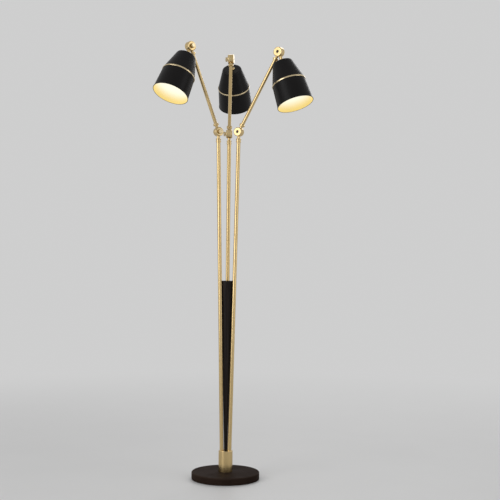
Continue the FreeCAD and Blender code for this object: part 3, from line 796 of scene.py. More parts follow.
IRON = Rough(
    "cast_iron", tone=(0.115, 0.115, 0.12), deep=(0.055, 0.052, 0.05),
    rough=0.72, grain=1.6, grain_depth=0.25, metallic=0.6,
)
FELT = Rough(
    "felt", tone=(0.030, 0.030, 0.033), deep=(0.016, 0.016, 0.018),
    rough=0.95, grain=0.7, grain_depth=0.3, sheen=0.4,
)
RUBBER = Rough(
    "grommet_rubber", tone=(0.022, 0.022, 0.022), deep=(0.014, 0.014, 0.014),
    rough=0.68, grain=0.6, grain_depth=0.03,
)
HOLDER_PLASTIC = Rough(
    "holder_plastic", tone=(0.028, 0.027, 0.026), deep=(0.017, 0.016, 0.016),
    rough=0.5, grain=0.8, grain_depth=0.03,
)
# The lining's near and far colours are its bulb's light painted on it, pale near the bulb and yellow farther
# off.
LINING = Lining(
    "shade_lining", tone=(0.26, 0.21, 0.11), deep=(0.20, 0.155, 0.075),
    near=(0.81, 0.82, 0.72), far=(0.68, 0.50, 0.13), bulb=90.0, reach=60.0, strength=1.0,
)
BULB_GLOW = Frosted(
    "frosted_bulb", tone=(0.60, 0.57, 0.50), deep=(0.52, 0.48, 0.40),
    near=(1.0, 0.98, 0.90), far=(1.0, 0.90, 0.66), centre=32.0, reach=30.0, strength=1.3,
)


# --- meshes --------------------------------------------------------------------------


@dataclass(frozen=True)
class Corner:
    """A corner of a turned piece's outline.

    radius and along give its place in millimetres, round its rounding, and finish the slot of
    the surface that runs from this corner to the next.
    """

    radius: float
    along: float
    round: float = 0.0
    finish: int = 0


@dataclass(frozen=True)
class Station:
    """A point of a finished outline, with its share of wear and the slot of what follows."""

    radius: float
    along: float
    wear: float
    finish: int


ARC_STEP = math.radians(18.0)
SIDE_SHARE = 0.45
HOLD = 0.45
HOLD_SHARE = 0.25
NEARLY_STRAIGHT = 0.01
SMALL = 1e-6
CRISP_ANGLE = math.radians(35.0)
ROUND_SEGMENTS = 64
HOLE_SEGMENTS = 48


def round_corner(before: Corner, here: Corner, after: Corner) -> list[Station]:
    """The points that stand for one corner.

    Args:
        before: the corner before it.
        here: the corner.
        after: the corner after it.

    Returns:
        An arc's points where the corner is rounded, or the corner itself, between two points
        that keep the shading of the straight stretches flat.
    """
    place = Vector((here.radius, here.along))
    back = Vector((before.radius, before.along)) - place
    ahead = Vector((after.radius, after.along)) - place
    if back.length < SMALL or ahead.length < SMALL:
        return [Station(here.radius, here.along, 0.0, here.finish)]
    angle = back.angle(ahead)
    points: list[Station] = []
    reach = 0.0
    if here.round > 0.0 and angle < math.pi - NEARLY_STRAIGHT:
        reach = min(here.round / math.tan(angle / 2), SIDE_SHARE * back.length, SIDE_SHARE * ahead.length)
        radius = reach * math.tan(angle / 2)
        inwards = (back.normalized() + ahead.normalized()).normalized()
        centre = place + inwards * (radius / math.sin(angle / 2))
        first = place + back.normalized() * reach - centre
        last = place + ahead.normalized() * reach - centre
        bend = math.pi - angle
        count = max(2, math.ceil(bend / ARC_STEP))
        for step in range(count + 1):
            share = step / count
            weight_first = math.sin((1 - share) * bend) / math.sin(bend)
            weight_last = math.sin(share * bend) / math.sin(bend)
            point = centre + first * weight_first + last * weight_last
            points.append(Station(point.x, point.y, 1.0, here.finish if step == count else before.finish))
    else:
        points.append(Station(here.radius, here.along, 1.0, here.finish))
    hold = min(HOLD, HOLD_SHARE * back.length, HOLD_SHARE * ahead.length)
    lead = place + back.normalized() * (reach + hold)
    tail = place + ahead.normalized() * (reach + hold)
    first_hold = Station(lead.x, lead.y, 0.0, before.finish)
    last_hold = Station(tail.x, tail.y, 0.0, here.finish)
    return [first_hold, *points, last_hold]


def stations(corners: Sequence[Corner]) -> tuple[list[Station], bool]:
    """The points of an outline.

    Args:
        corners: the outline, open from pole to pole where it starts and ends on the axis.

    Returns:
        The points and whether the outline is closed in itself.
    """
    closed = corners[0].radius > SMALL
    found: list[Station] = []
    for index, here in enumerate(corners):
        if not closed and index in (0, len(corners) - 1):
            found.append(Station(0.0, here.along, 0.0, here.finish))
            continue
        found += round_corner(corners[index - 1], here, corners[(index + 1) % len(corners)])
    return found, closed


def lathe(corners: Sequence[Corner], segments: int) -> bmesh.types.BMesh:
    """Turns an outline about Z.

    Args:
        corners: the outline, in millimetres.
        segments: the number of steps round.

    Returns:
        A closed mesh in metres, with the wear of each point and outward faces.
    """
    points, closed = stations(corners)
    mesh = bmesh.new()
    wear = mesh.verts.layers.float.new("wear")
    rings: list[list[bmesh.types.BMVert]] = []
    for point in points:
        count = 1 if point.radius < SMALL else segments
        ring = []
        for step in range(count):
            angle = 2 * math.pi * step / segments
            across = (point.radius * math.cos(angle), point.radius * math.sin(angle))
            vertex = mesh.verts.new(Vector((*across, point.along)) * MM)
            vertex[wear] = point.wear
            ring.append(vertex)
        rings.append(ring)
    pairs = len(points) if closed else len(points) - 1
    for index in range(pairs):
        first, second = rings[index], rings[(index + 1) % len(points)]
        for step in range(segments):
            following = (step + 1) % segments
            corners_of_face = [first[step % len(first)], second[step % len(second)]]
            if len(second) > 1:
                corners_of_face.append(second[following])
            if len(first) > 1:
                corners_of_face.append(first[following])
            face = mesh.faces.new(corners_of_face)
            face.material_index = points[index].finish
            face.smooth = True
    bmesh.ops.recalc_face_normals(mesh, faces=mesh.faces)
    return mesh


def as_object(
    mesh: bmesh.types.BMesh, name: str, materials: Sequence[bpy.types.Material]
) -> bpy.types.Object:
    """Makes an object of a mesh, at the origin.

    Args:
        mesh: the mesh, which is freed.
        name: the piece's name.
        materials: its materials, in the order of their slots.

    Returns:
        The object, linked to the scene.
    """
    data = bpy.data.meshes.new(name)
    mesh.to_mesh(data)
    mesh.free()
    for material in materials:
        data.materials.append(material)
    thing = bpy.data.objects.new(name, data)
    bpy.context.scene.collection.objects.link(thing)
    return thing


def frozen(thing: bpy.types.Object) -> None:
    """Turns what an object's modifiers make into its own plain mesh, and removes them."""
    graph = bpy.context.evaluated_depsgraph_get()
    data = bpy.data.meshes.new_from_object(
        thing.evaluated_get(graph), preserve_all_data_layers=True, depsgraph=graph
    )
    old = thing.data
    thing.modifiers.clear()
    thing.data = data
    bpy.data.meshes.remove(old)
    data.name = thing.name


def combined(thing: bpy.types.Object, operation: str, *others: bpy.types.Object) -> None:
    """Adds closed solids to an object or cuts them out of it, and uses them up.

    Args:
        thing: the object that is kept.
        operation: UNION or DIFFERENCE.
        *others: the other solids.
    """
    for other in others:
        step = thing.modifiers.new(operation.lower(), "BOOLEAN")
        step.operation = operation
        step.solver = "EXACT"
        step.object = other
    frozen(thing)
    for other in others:
        bpy.data.objects.remove(other)


def crisp(thing: bpy.types.Object) -> None:
    """Breaks the smooth shading at the edges that turn a good deal."""
    thing.data.set_sharp_from_angle(angle=CRISP_ANGLE)


def plug(radius: float, start: float, end: float, segments: int) -> bpy.types.Object:
    """A plain round or many-sided solid along Z, to cut with, in millimetres."""
    corners = [Corner(0.0, start), Corner(radius, start), Corner(radius, end), Corner(0.0, end)]
    return as_object(lathe(corners, segments), "cutter", [])


def pipe(
    label: str, finish: bpy.types.Material, outer: float, inner: float, length: float
) -> bpy.types.Object:
    """A tube that stands on its XY plane, with softened ends.

    Args:
        label: the piece's name.
        finish: its material.
        outer: the outer radius, in millimetres.
        inner: the bore's radius.
        length: its length.

    Returns:
        The tube.
    """
    corners = [
        Corner(inner, 0.0, 0.2),
        Corner(outer, 0.0, 0.3),
        Corner(outer, length, 0.3),
        Corner(inner, length, 0.2),
    ]
    return as_object(lathe(corners, ROUND_SEGMENTS), label, [finish])


# --- geometry nodes ------------------------------------------------------------------

RIDGE_SEGMENTS = 8
STEPS_PER_TURN = 40


class Growth:
    """A geometry tree with named inputs, which ends in plain geometry with a material."""

    def __init__(self, name: str, inputs: Inputs) -> None:
        """Starts a tree.

        Args:
            name: the tree's name.
            inputs: name, type and default of each input beside the geometry.
        """
        self.tree = bpy.data.node_groups.new(name, "GeometryNodeTree")
        sockets = self.tree.interface
        sockets.new_socket(name="Geometry", in_out="INPUT", socket_type="NodeSocketGeometry")
        self.identifiers: dict[str, str] = {}
        for label, kind, default in [*inputs, ("Material", "Material", None)]:
            socket = sockets.new_socket(name=label, in_out="INPUT", socket_type="NodeSocket" + kind)
            if default is not None:
                socket.default_value = default
            self.identifiers[label] = socket.identifier
        sockets.new_socket(name="Geometry", in_out="OUTPUT", socket_type="NodeSocketGeometry")
        self.wires = Wiring(self.tree)
        self.given = self.wires.add("NodeGroupInput").outputs

    def end(self, geometry: Socket) -> None:
        """Makes instances real, gives them the material and puts the geometry out."""
        real = self.wires.add("GeometryNodeRealizeInstances")
        self.wires.feed(real.inputs[0], geometry)
        smooth = self.wires.add("GeometryNodeSetShadeSmooth")
        self.wires.feed(smooth.inputs[0], real.outputs[0])
        finish = self.wires.add("GeometryNodeSetMaterial")
        self.wires.feed(finish.inputs["Geometry"], smooth.outputs[0])
        self.wires.feed(finish.inputs["Material"], self.given["Material"])
        made = self.wires.add("NodeGroupOutput")
        self.wires.feed(made.inputs[0], finish.outputs[0])

    def run(self, thing: bpy.types.Object, **values: object) -> None:
        """Runs the tree on an object and keeps the result as its plain mesh.

        Args:
            thing: the object whose mesh goes in.
            **values: the inputs by name, with _ for a space.
        """
        modifier = thing.modifiers.new(self.tree.name, "NODES")
        modifier.node_group = self.tree
        for name, value in values.items():
            modifier[self.identifiers[name.replace("_", " ")]] = value
        thing.update_tag()
        frozen(thing)


def flute_tree() -> Growth:
    """Cuts flutes along the side of a turned blank that stands on Z.

    Returns:
        The tree, with inputs Count, Depth, Radius, Width, Start and End.
    """
    growth = Growth(
        "flutes",
        [
            ("Count", "Float", 16.0),
            ("Depth", "Float", 0.0008),
            ("Radius", "Float", 0.0085),
            ("Width", "Float", 0.5),
            ("Start", "Float", 0.0016),
            ("End", "Float", 0.0096),
        ],
    )
    wires, given = growth.wires, growth.given
    x, y, z = wires.parts(wires.add("GeometryNodeInputPosition").outputs[0])
    radius = wires.length(x, y)
    wave = wires.math("COSINE", wires.math("MULTIPLY", wires.math("ARCTAN2", y, x), given["Count"]))
    valley = wires.add("ShaderNodeMapRange", interpolation_type="SMOOTHSTEP")
    wires.feed(valley.inputs[0], wave)
    wires.feed(valley.inputs[1], wires.math("SUBTRACT", 1.0, wires.math("MULTIPLY", given["Width"], 2.0)))
    rim_share, slack = 0.8, 1e-5
    near_rim = wires.math("GREATER_THAN", radius, wires.math("MULTIPLY", given["Radius"], rim_share))
    above = wires.math("GREATER_THAN", z, wires.math("ADD", given["Start"], -slack))
    below = wires.math("LESS_THAN", z, wires.math("ADD", given["End"], slack))
    where = wires.math("MULTIPLY", near_rim, wires.math("MULTIPLY", above, below))
    cut = wires.math("MULTIPLY", wires.math("MULTIPLY", valley.outputs[0], given["Depth"]), where)
    shrink = wires.math("DIVIDE", wires.math("SUBTRACT", radius, cut), wires.math("MAXIMUM", radius, SMALL))
    moved = wires.vector(wires.math("MULTIPLY", x, shrink), wires.math("MULTIPLY", y, shrink), z)
    shift = wires.add("GeometryNodeSetPosition")
    wires.feed(shift.inputs["Geometry"], given["Geometry"])
    wires.feed(shift.inputs["Position"], moved)
    growth.end(shift.outputs[0])
    return growth


def ridge_along(wires: Wiring, path: Socket, radius: Socket) -> bpy.types.Node:
    """Sweeps a round ridge along a curve.

    Args:
        wires: the wiring of the tree.
        path: the curve.
        radius: the ridge's radius.

    Returns:
        The node that puts out the ridge's mesh.
    """
    section = wires.add("GeometryNodeCurvePrimitiveCircle")
    wires.feed(section.inputs["Resolution"], RIDGE_SEGMENTS)
    wires.feed(section.inputs["Radius"], radius)
    ridge = wires.add("GeometryNodeCurveToMesh")
    wires.feed(ridge.inputs["Curve"], path)
    wires.feed(ridge.inputs["Profile Curve"], section.outputs[0])
    return ridge


def joined(growth: Growth, added: Socket) -> Growth:
    """Ends a tree that adds geometry to what it is given."""
    together = growth.wires.add("GeometryNodeJoinGeometry")
    for part in (added, growth.given["Geometry"]):
        growth.wires.feed(together.inputs[0], part)
    growth.end(together.outputs[0])
    return growth


def thread_tree() -> Growth:
    """Winds a screw thread round a turned core.

    Returns:
        The tree, with inputs Radius, Ridge, Pitch, Turns and Start.
    """
    growth = Growth(
        "screw_thread",
        [
            ("Radius", "Float", 0.0065),
            ("Ridge", "Float", 0.0006),
            ("Pitch", "Float", 0.0028),
            ("Turns", "Float", 6.0),
            ("Start", "Float", 0.005),
        ],
    )
    wires, given = growth.wires, growth.given
    helix = wires.add("GeometryNodeCurveSpiral")
    wires.feed(helix.inputs["Resolution"], STEPS_PER_TURN)
    wires.feed(helix.inputs["Rotations"], given["Turns"])
    wires.feed(helix.inputs["Start Radius"], given["Radius"])
    wires.feed(helix.inputs["End Radius"], given["Radius"])
    wires.feed(helix.inputs["Height"], wires.math("MULTIPLY", given["Turns"], given["Pitch"]))
    ridge = ridge_along(wires, helix.outputs[0], given["Ridge"])
    wires.feed(ridge.inputs["Fill Caps"], True)
    raised = wires.add("GeometryNodeTransform")
    wires.feed(raised.inputs["Geometry"], ridge.outputs[0])
    wires.feed(raised.inputs["Translation"], wires.vector(0.0, 0.0, given["Start"]))
    return joined(growth, raised.outputs[0])


def rib_tree() -> Growth:
    """Sets a row of round ribs on a turned core.

    Returns:
        The tree, with inputs Count, Step, Radius, Ridge and Start.
    """
    growth = Growth(
        "ribs",
        [
            ("Count", "Int", 6),
            ("Step", "Float", 0.002),
            ("Radius", "Float", 0.014),
            ("Ridge", "Float", 0.0004),
            ("Start", "Float", 0.01),
        ],
    )
    wires, given = growth.wires, growth.given
    row = wires.add("GeometryNodeMeshLine", mode="OFFSET")
    wires.feed(row.inputs["Count"], given["Count"])
    wires.feed(row.inputs["Start Location"], wires.vector(0.0, 0.0, given["Start"]))
    wires.feed(row.inputs["Offset"], wires.vector(0.0, 0.0, given["Step"]))
    hoop = wires.add("GeometryNodeCurvePrimitiveCircle")
    wires.feed(hoop.inputs["Resolution"], ROUND_SEGMENTS)
    wires.feed(hoop.inputs["Radius"], given["Radius"])
    rib = ridge_along(wires, hoop.outputs[0], given["Ridge"])
    copies = wires.add("GeometryNodeInstanceOnPoints")
    wires.feed(copies.inputs["Points"], row.outputs[0])
    wires.feed(copies.inputs["Instance"], rib.outputs[0])
    return joined(growth, copies.outputs[0])


# --- places --------------------------------------------------------------------------


def turn(degrees: float, axis: str) -> Matrix:
    """A turn about one of the axes."""
    return Matrix.Rotation(math.radians(degrees), 4, axis)


TO_BACK = turn(-90.0, "X")


def lift(height: float) -> Matrix:
    """A shift along Z, in millimetres."""
    return Matrix.Translation((0.0, 0.0, height * MM))


def on_pivot(distance: float) -> Matrix:
    """A place on a knuckle's axis with Z turned along it, in millimetres."""
    return Matrix.Translation((0.0, distance * MM, 0.0)) @ TO_BACK


def box_centre(node: str) -> Vector:
    """The middle of a node's box."""
    low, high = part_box(node)
    return (low + high) / 2


def axes(origin: Vector, up: Vector, across: Vector) -> Matrix:
    """A frame whose Z is up and whose Y is near across.

    Args:
        origin: the frame's origin.
        up: the direction of Z.
        across: a direction that Y is turned towards.

    Returns:
        The frame as a matrix.
    """
    z = up.normalized()
    x = across.cross(z).normalized()
    y = z.cross(x)
    turned = Matrix((x, y, z)).transposed().to_4x4()
    turned.translation = origin
    return turned


class Skeleton:
    """The frames of the lamp's pieces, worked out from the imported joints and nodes."""

    def __init__(self, joints: Sequence[dict]) -> None:
        """Reads the joints.

        Args:
            joints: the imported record's joints.
        """
        self.joints = {joint["name"]: joint for joint in joints}

    def pivot(self, kind: str, side: Side) -> tuple[Vector, Vector]:
        """A joint's place and its axis, turned towards the knob of its knuckle."""
        joint = self.joints[f"{kind}_{side.value}"]
        place, axis = Vector(joint["pos_m"]), Vector(joint["axis"])
        knob = {"arm_tilt": "hub_knob", "shade_tilt": "head_knob"}[kind]
        towards = box_centre(f"{knob}_{side.value}") - place
        return place, axis if axis.dot(towards) > 0 else -axis

    def rod(self, side: Side) -> Matrix:
        """At the hub's pivot, with Z up along the rod."""
        place, across = self.pivot("arm_tilt", side)
        return axes(place, place - box_centre(f"rod_{side.value}"), across)

    def arm(self, side: Side) -> Matrix:
        """At the hub's pivot, with Z along the arm."""
        place, across = self.pivot("arm_tilt", side)
        tip, _ = self.pivot("shade_tilt", side)
        return axes(place, tip - place, across)

    def head(self, side: Side) -> Matrix:
        """At the arm's tip, with Z on along the arm."""
        foot, _ = self.pivot("arm_tilt", side)
        tip, across = self.pivot("shade_tilt", side)
        return axes(tip, tip - foot, across)

    def shade(self, side: Side) -> Matrix:
        """At the arm's tip, with Z towards the shade's mouth."""
        tip, across = self.pivot("shade_tilt", side)
        return axes(tip, box_centre(f"shade_ring_{side.value}") - tip, across)


def put(thing: bpy.types.Object, place: Matrix, body: str, slot: str, *nodes: str) -> bpy.types.Object:
    """Moves a piece's mesh to its place and hangs it on its body.

    Args:
        thing: the piece, at the origin.
        place: its frame.
        body: the body that it moves with.
        slot: the record's material slot, which is not used.
        *nodes: the nodes that it stands for.

    Returns:
        The piece.
    """
    thing.data.transform(place)
    thing.data.update()
    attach(thing, body)
    if nodes:
        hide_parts(*nodes)
    LOG.info("%s: %d faces on %s", thing.name, len(thing.data.polygons), body)
    return thing


def dress_node(node: str, material: bpy.types.Material) -> None:
    """Gives a node of the frame its finish."""
    thing = frame["nodes"][node]
    if not thing.material_slots:
        thing.data.materials.append(material)
    for slot in thing.material_slots:
        slot.link = "OBJECT"
        slot.material = material
    LOG.info("%s: dressed with %s", node, material.name)


# --- the lamp ------------------------------------------------------------------------

SHADE_DROP = 42.5


@dataclass
class Base:
    """The weighted foot with its pad, cover, bolt and cord bush."""

    wall: float = 1.2
    edge: float = 4.0
    bore: float = 10.1
    cord_hole: float = 9.2
    cord_height: float = 8.2
    drill_length: float = 20.0
    bush_bore: float = 3.2
    bush_gap: float = 0.1
    bush_length: float = 9.0
    bush_lip: float = 2.0
    bush_flange: float = 1.6
    pad_inset: float = 7.0
    pad_thickness: float = 2.5
    pad_round: float = 0.8
    segments: int = 160

    def build(self) -> None:
        """Makes the cover, the pad and the cord bush, and dresses the pieces inside."""
        low, high = (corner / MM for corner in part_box("base_cover"))
        outer, foot, top = high.x, low.z, high.z
        inner = outer - self.wall
        corners = [
            Corner(self.bore / 2, top - self.wall),
            Corner(inner, top - self.wall, self.edge - self.wall),
            Corner(inner, foot, 0.3),
            Corner(outer, foot, 0.3),
            Corner(outer, top, self.edge),
            Corner(self.bore / 2, top),
        ]
        middle = Matrix.Identity(4)
        cover = as_object(lathe(corners, self.segments), "cover_skin", [BASE_BROWN.dress("cover", middle)])
        self.cut_cord_hole(cover)
        put(cover, middle, "stand", "base_lacquer", "base_cover")
        self.pad(outer - self.pad_inset)
        self.bush(outer)
        dress_node("base_weight", IRON.dress("weight", middle))
        for node in ("base_washer", "base_bolt"):
            dress_node(node, STEEL.dress(node, middle, Marks.TURNED))

    def out_of_back(self, start: float) -> Matrix:
        """A frame on the axis of the cord's hole, with Z out at the back."""
        return Matrix.Translation(Vector((0.0, start, self.cord_height)) * MM) @ TO_BACK

    def cut_cord_hole(self, cover: bpy.types.Object) -> None:
        """Drills the hole of the cord bush through the back of the cover."""
        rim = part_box("base_cover")[1].y / MM
        drill = plug(self.cord_hole / 2, 0.0, self.drill_length, HOLE_SEGMENTS)
        drill.data.transform(self.out_of_back(rim - self.drill_length / 2))
        combined(cover, "DIFFERENCE", drill)
        crisp(cover)

    def pad(self, radius: float) -> None:
        """The felt disc under the foot."""
        corners = [
            Corner(0.0, 0.0),
            Corner(radius, 0.0, self.pad_round),
            Corner(radius, self.pad_thickness, self.pad_round),
            Corner(0.0, self.pad_thickness),
        ]
        place = Matrix.Identity(4)
        pad = as_object(lathe(corners, self.segments), "felt_disc", [FELT.dress("disc", place)])
        put(pad, place, "stand", "felt", "base_pad")

    def bush(self, rim: float) -> None:
        """The rubber bush that leads the mains cord out at the back."""
        neck, bore = self.cord_hole / 2 - self.bush_gap, self.bush_bore
        flange, end = neck + self.bush_lip, self.bush_length + self.bush_flange
        corners = [
            Corner(bore, 0.0, 0.4),
            Corner(neck, 0.0, 0.4),
            Corner(neck, self.bush_length, 0.1),
            Corner(flange, self.bush_length, 0.3),
            Corner(flange, end, 0.7),
            Corner(bore, end, 0.7),
        ]
        place = self.out_of_back(rim - self.bush_length)
        bush = as_object(lathe(corners, ROUND_SEGMENTS), "cord_bush", [RUBBER.dress("bush", place)])
        put(bush, place, "stand", "grommet_rubber", "cord_grommet")


@dataclass
class Stem:
    """The socket, the three rods and the spike between them."""

    rod_radius: float = 7.25
    rod_bore: float = 5.75
    rod_top: float = 27.5
    rod_gap: float = 0.05
    spike_foot: float = 12.0
    spike_chamfer: float = 1.2
    spike_round: float = 1.4
    socket_segments: int = 128

    def build(self, skeleton: Skeleton) -> None:
        """Makes the rods, the socket that they stand in and the spike.

        Args:
            skeleton: the lamp's frames.
        """
        dress_node("spike_stud", STEEL.dress("stud", Matrix.Identity(4), Marks.TURNED))
        feet = [self.rod(skeleton, side) for side in Side]
        self.socket(feet)
        self.spike()

    def rod(self, skeleton: Skeleton, side: Side) -> Matrix:
        """Makes one rod.

        Args:
            skeleton: the lamp's frames.
            side: the arm that it carries.

        Returns:
            The frame at its foot, with Z up along it.
        """
        node = f"rod_{side.value}"
        pivot = skeleton.rod(side)
        middle = (pivot.to_translation() - box_centre(node)).length / MM
        length = 2 * (middle - self.rod_top)
        foot = pivot @ lift(-(self.rod_top + length))
        label = f"brass_rod_{side.value}"
        rod = pipe(label, BRASS.dress(label, foot, Marks.DRAWN), self.rod_radius, self.rod_bore, length)
        put(rod, foot, "stand", "brass", node)
        return foot

    def socket(self, feet: Sequence[Matrix]) -> None:
        """The turned socket with a leaning hole for each rod.

        Args:
            feet: the frames at the rods' feet.
        """
        low, high = (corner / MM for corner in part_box("rod_socket"))
        corners = [
            Corner(0.0, 0.0),
            Corner(high.x, 0.0, 0.4),
            Corner(high.x, high.z - low.z, 1.3),
            Corner(0.0, high.z - low.z),
        ]
        place = lift(low.z)
        finish = BRASS.dress("rod_collar", place, Marks.TURNED)
        block = as_object(lathe(corners, self.socket_segments), "rod_collar", [finish])
        drills = []
        for foot in feet:
            drill = plug(self.rod_radius + self.rod_gap, 0.0, high.z - low.z, ROUND_SEGMENTS)
            drill.data.transform(place.inverted() @ foot)
            drills.append(drill)
        combined(block, "DIFFERENCE", *drills)
        crisp(block)
        put(block, place, "stand", "brass", "rod_socket")

    def spike(self) -> None:
        """The tapered spike with its flat top."""
        low, high = (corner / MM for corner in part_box("spike"))
        height, top = high.z - low.z, high.x
        corners = [
            Corner(0.0, 0.0),
            Corner(self.spike_foot / 2, 0.0, 0.4),
            Corner(top, height - self.spike_chamfer, self.spike_round),
            Corner(top - self.spike_chamfer, height, self.spike_round),
            Corner(0.0, height),
        ]
        place = lift(low.z)
        spike = as_object(lathe(corners, ROUND_SEGMENTS), "taper", [SPIKE_BLACK.dress("taper", place)])
        put(spike, place, "stand", "spike_lacquer", "spike")


@dataclass
class Knob:
    """A fluted thumb nut on its boss."""

    radius: float = 8.5
    length: float = 8.0
    boss_radius: float = 6.0
    boss_length: float = 1.6
    bore_radius: float = 3.05
    face: float = 2.5
    flutes: int = 16
    flute_depth: float = 0.8
    flute_width: float = 0.72
    steps_per_flute: int = 14
    dish_radius: float = 4.6
    dish_depth: float = 0.35

    def build(self, label: str, place: Matrix, body: str, node: str) -> None:
        """Makes one knob.

        Args:
            label: the piece's name.
            place: its frame, with Z out along the bolt.
            body: the body that it moves with.
            node: the node that it stands for.
        """
        top = self.boss_length + self.length
        corners = [
            Corner(0.0, top - self.face),
            Corner(self.bore_radius, top - self.face),
            Corner(self.bore_radius, 0.0, 0.2),
            Corner(self.boss_radius, 0.0, 0.3),
            Corner(self.boss_radius, self.boss_length, 0.2),
            Corner(self.radius - 0.5, self.boss_length, 0.25),
            Corner(self.radius, self.boss_length + 0.5, 0.35),
            Corner(self.radius, top - 1.1, 0.5),
            Corner(self.radius - 1.1, top, 0.5),
            Corner(self.dish_radius + 0.3, top, 0.2),
            Corner(self.dish_radius, top - self.dish_depth, 0.2),
            Corner(0.0, top - self.dish_depth),
        ]
        finish = BRIGHT_BRASS.dress(label, place, Marks.TURNED)
        knob = as_object(lathe(corners, self.flutes * self.steps_per_flute), label, [finish])
        FLUTES.run(
            knob,
            Count=float(self.flutes),
            Depth=self.flute_depth * MM,
            Radius=self.radius * MM,
            Width=self.flute_width,
            Start=self.boss_length * MM,
            End=top * MM,
            Material=finish,
        )
        put(knob, place, body, "brass", node)


@dataclass
class Knuckle:
    """A joint of two half barrels on stems, with the bolt that clamps them."""

    radius: float
    width: float = 23.0
    seam: float = 0.4
    round: float = 3.0
    room: float = 0.5
    hole: float = 3.05
    head_hole: float = 5.55
    head_radius: float = 5.5
    head_height: float = 4.0
    head_recess: float = 1.5
    shank: float = 3.0
    bolt_length: float = 28.6
    key: float = 2.887
    key_depth: float = 2.5
    stem_root: float = 8.0
    neck: float = 5.75
    segments: int = 96

    def half(self, label: str, place: Matrix, stem: Sequence[Corner], recessed: bool) -> bpy.types.Object:
        """Makes one half: a barrel on the +Y side of the pivot with a stem along Z.

        Args:
            label: the piece's name.
            place: the half's frame, which its tool marks follow.
            stem: the stem's outline.
            recessed: True where the bolt's head sits in it.

        Returns:
            The half, still at the origin.
        """
        inner, outer = self.seam / 2, self.width / 2
        corners = [
            Corner(self.hole, inner),
            Corner(self.radius, inner, 0.35),
            Corner(self.radius, outer, self.round),
        ]
        if recessed:
            floor = outer - self.head_height - self.head_recess
            corners += [
                Corner(self.head_hole, outer, 0.5),
                Corner(self.head_hole, floor, 0.2),
                Corner(self.hole, floor),
            ]
        else:
            corners.append(Corner(self.hole, outer, 0.2))
        barrel = as_object(lathe(corners, self.segments), "barrel", [])
        overshoot, overlap = 1.0, 0.05
        room = plug(self.radius + self.room, -outer - overshoot, inner - overlap, self.segments)
        for thing in (barrel, room):
            thing.data.transform(TO_BACK)
        finish = BRASS.dress(label, place, Marks.BARREL, self.radius)
        whole = as_object(lathe(stem, ROUND_SEGMENTS), label, [finish])
        combined(whole, "DIFFERENCE", room)
        combined(whole, "UNION", barrel)
        crisp(whole)
        return whole

    def bolt(self, label: str, pivot: Matrix, body: str, node: str) -> None:
        """Makes the clamp bolt, with a sunk hexagon in its head.

        Args:
            label: the piece's name.
            pivot: the knuckle's frame, with the knob on its +Y side.
            body: the body that it moves with.
            node: the node that it stands for.
        """
        place = pivot @ on_pivot(self.head_recess - self.width / 2)
        corners = [
            Corner(0.0, 0.0),
            Corner(self.head_radius, 0.0, 0.9),
            Corner(self.head_radius, self.head_height, 0.3),
            Corner(self.shank, self.head_height),
            Corner(self.shank, self.bolt_length, 0.4),
            Corner(0.0, self.bolt_length),
        ]
        finish = BLACKENED.dress(label, place, Marks.TURNED)
        bolt = as_object(lathe(corners, HOLE_SEGMENTS), label, [finish])
        hexagon = 6
        combined(bolt, "DIFFERENCE", plug(self.key, -1.0, self.key_depth, hexagon))
        crisp(bolt)
        put(bolt, place, body, "steel", node)


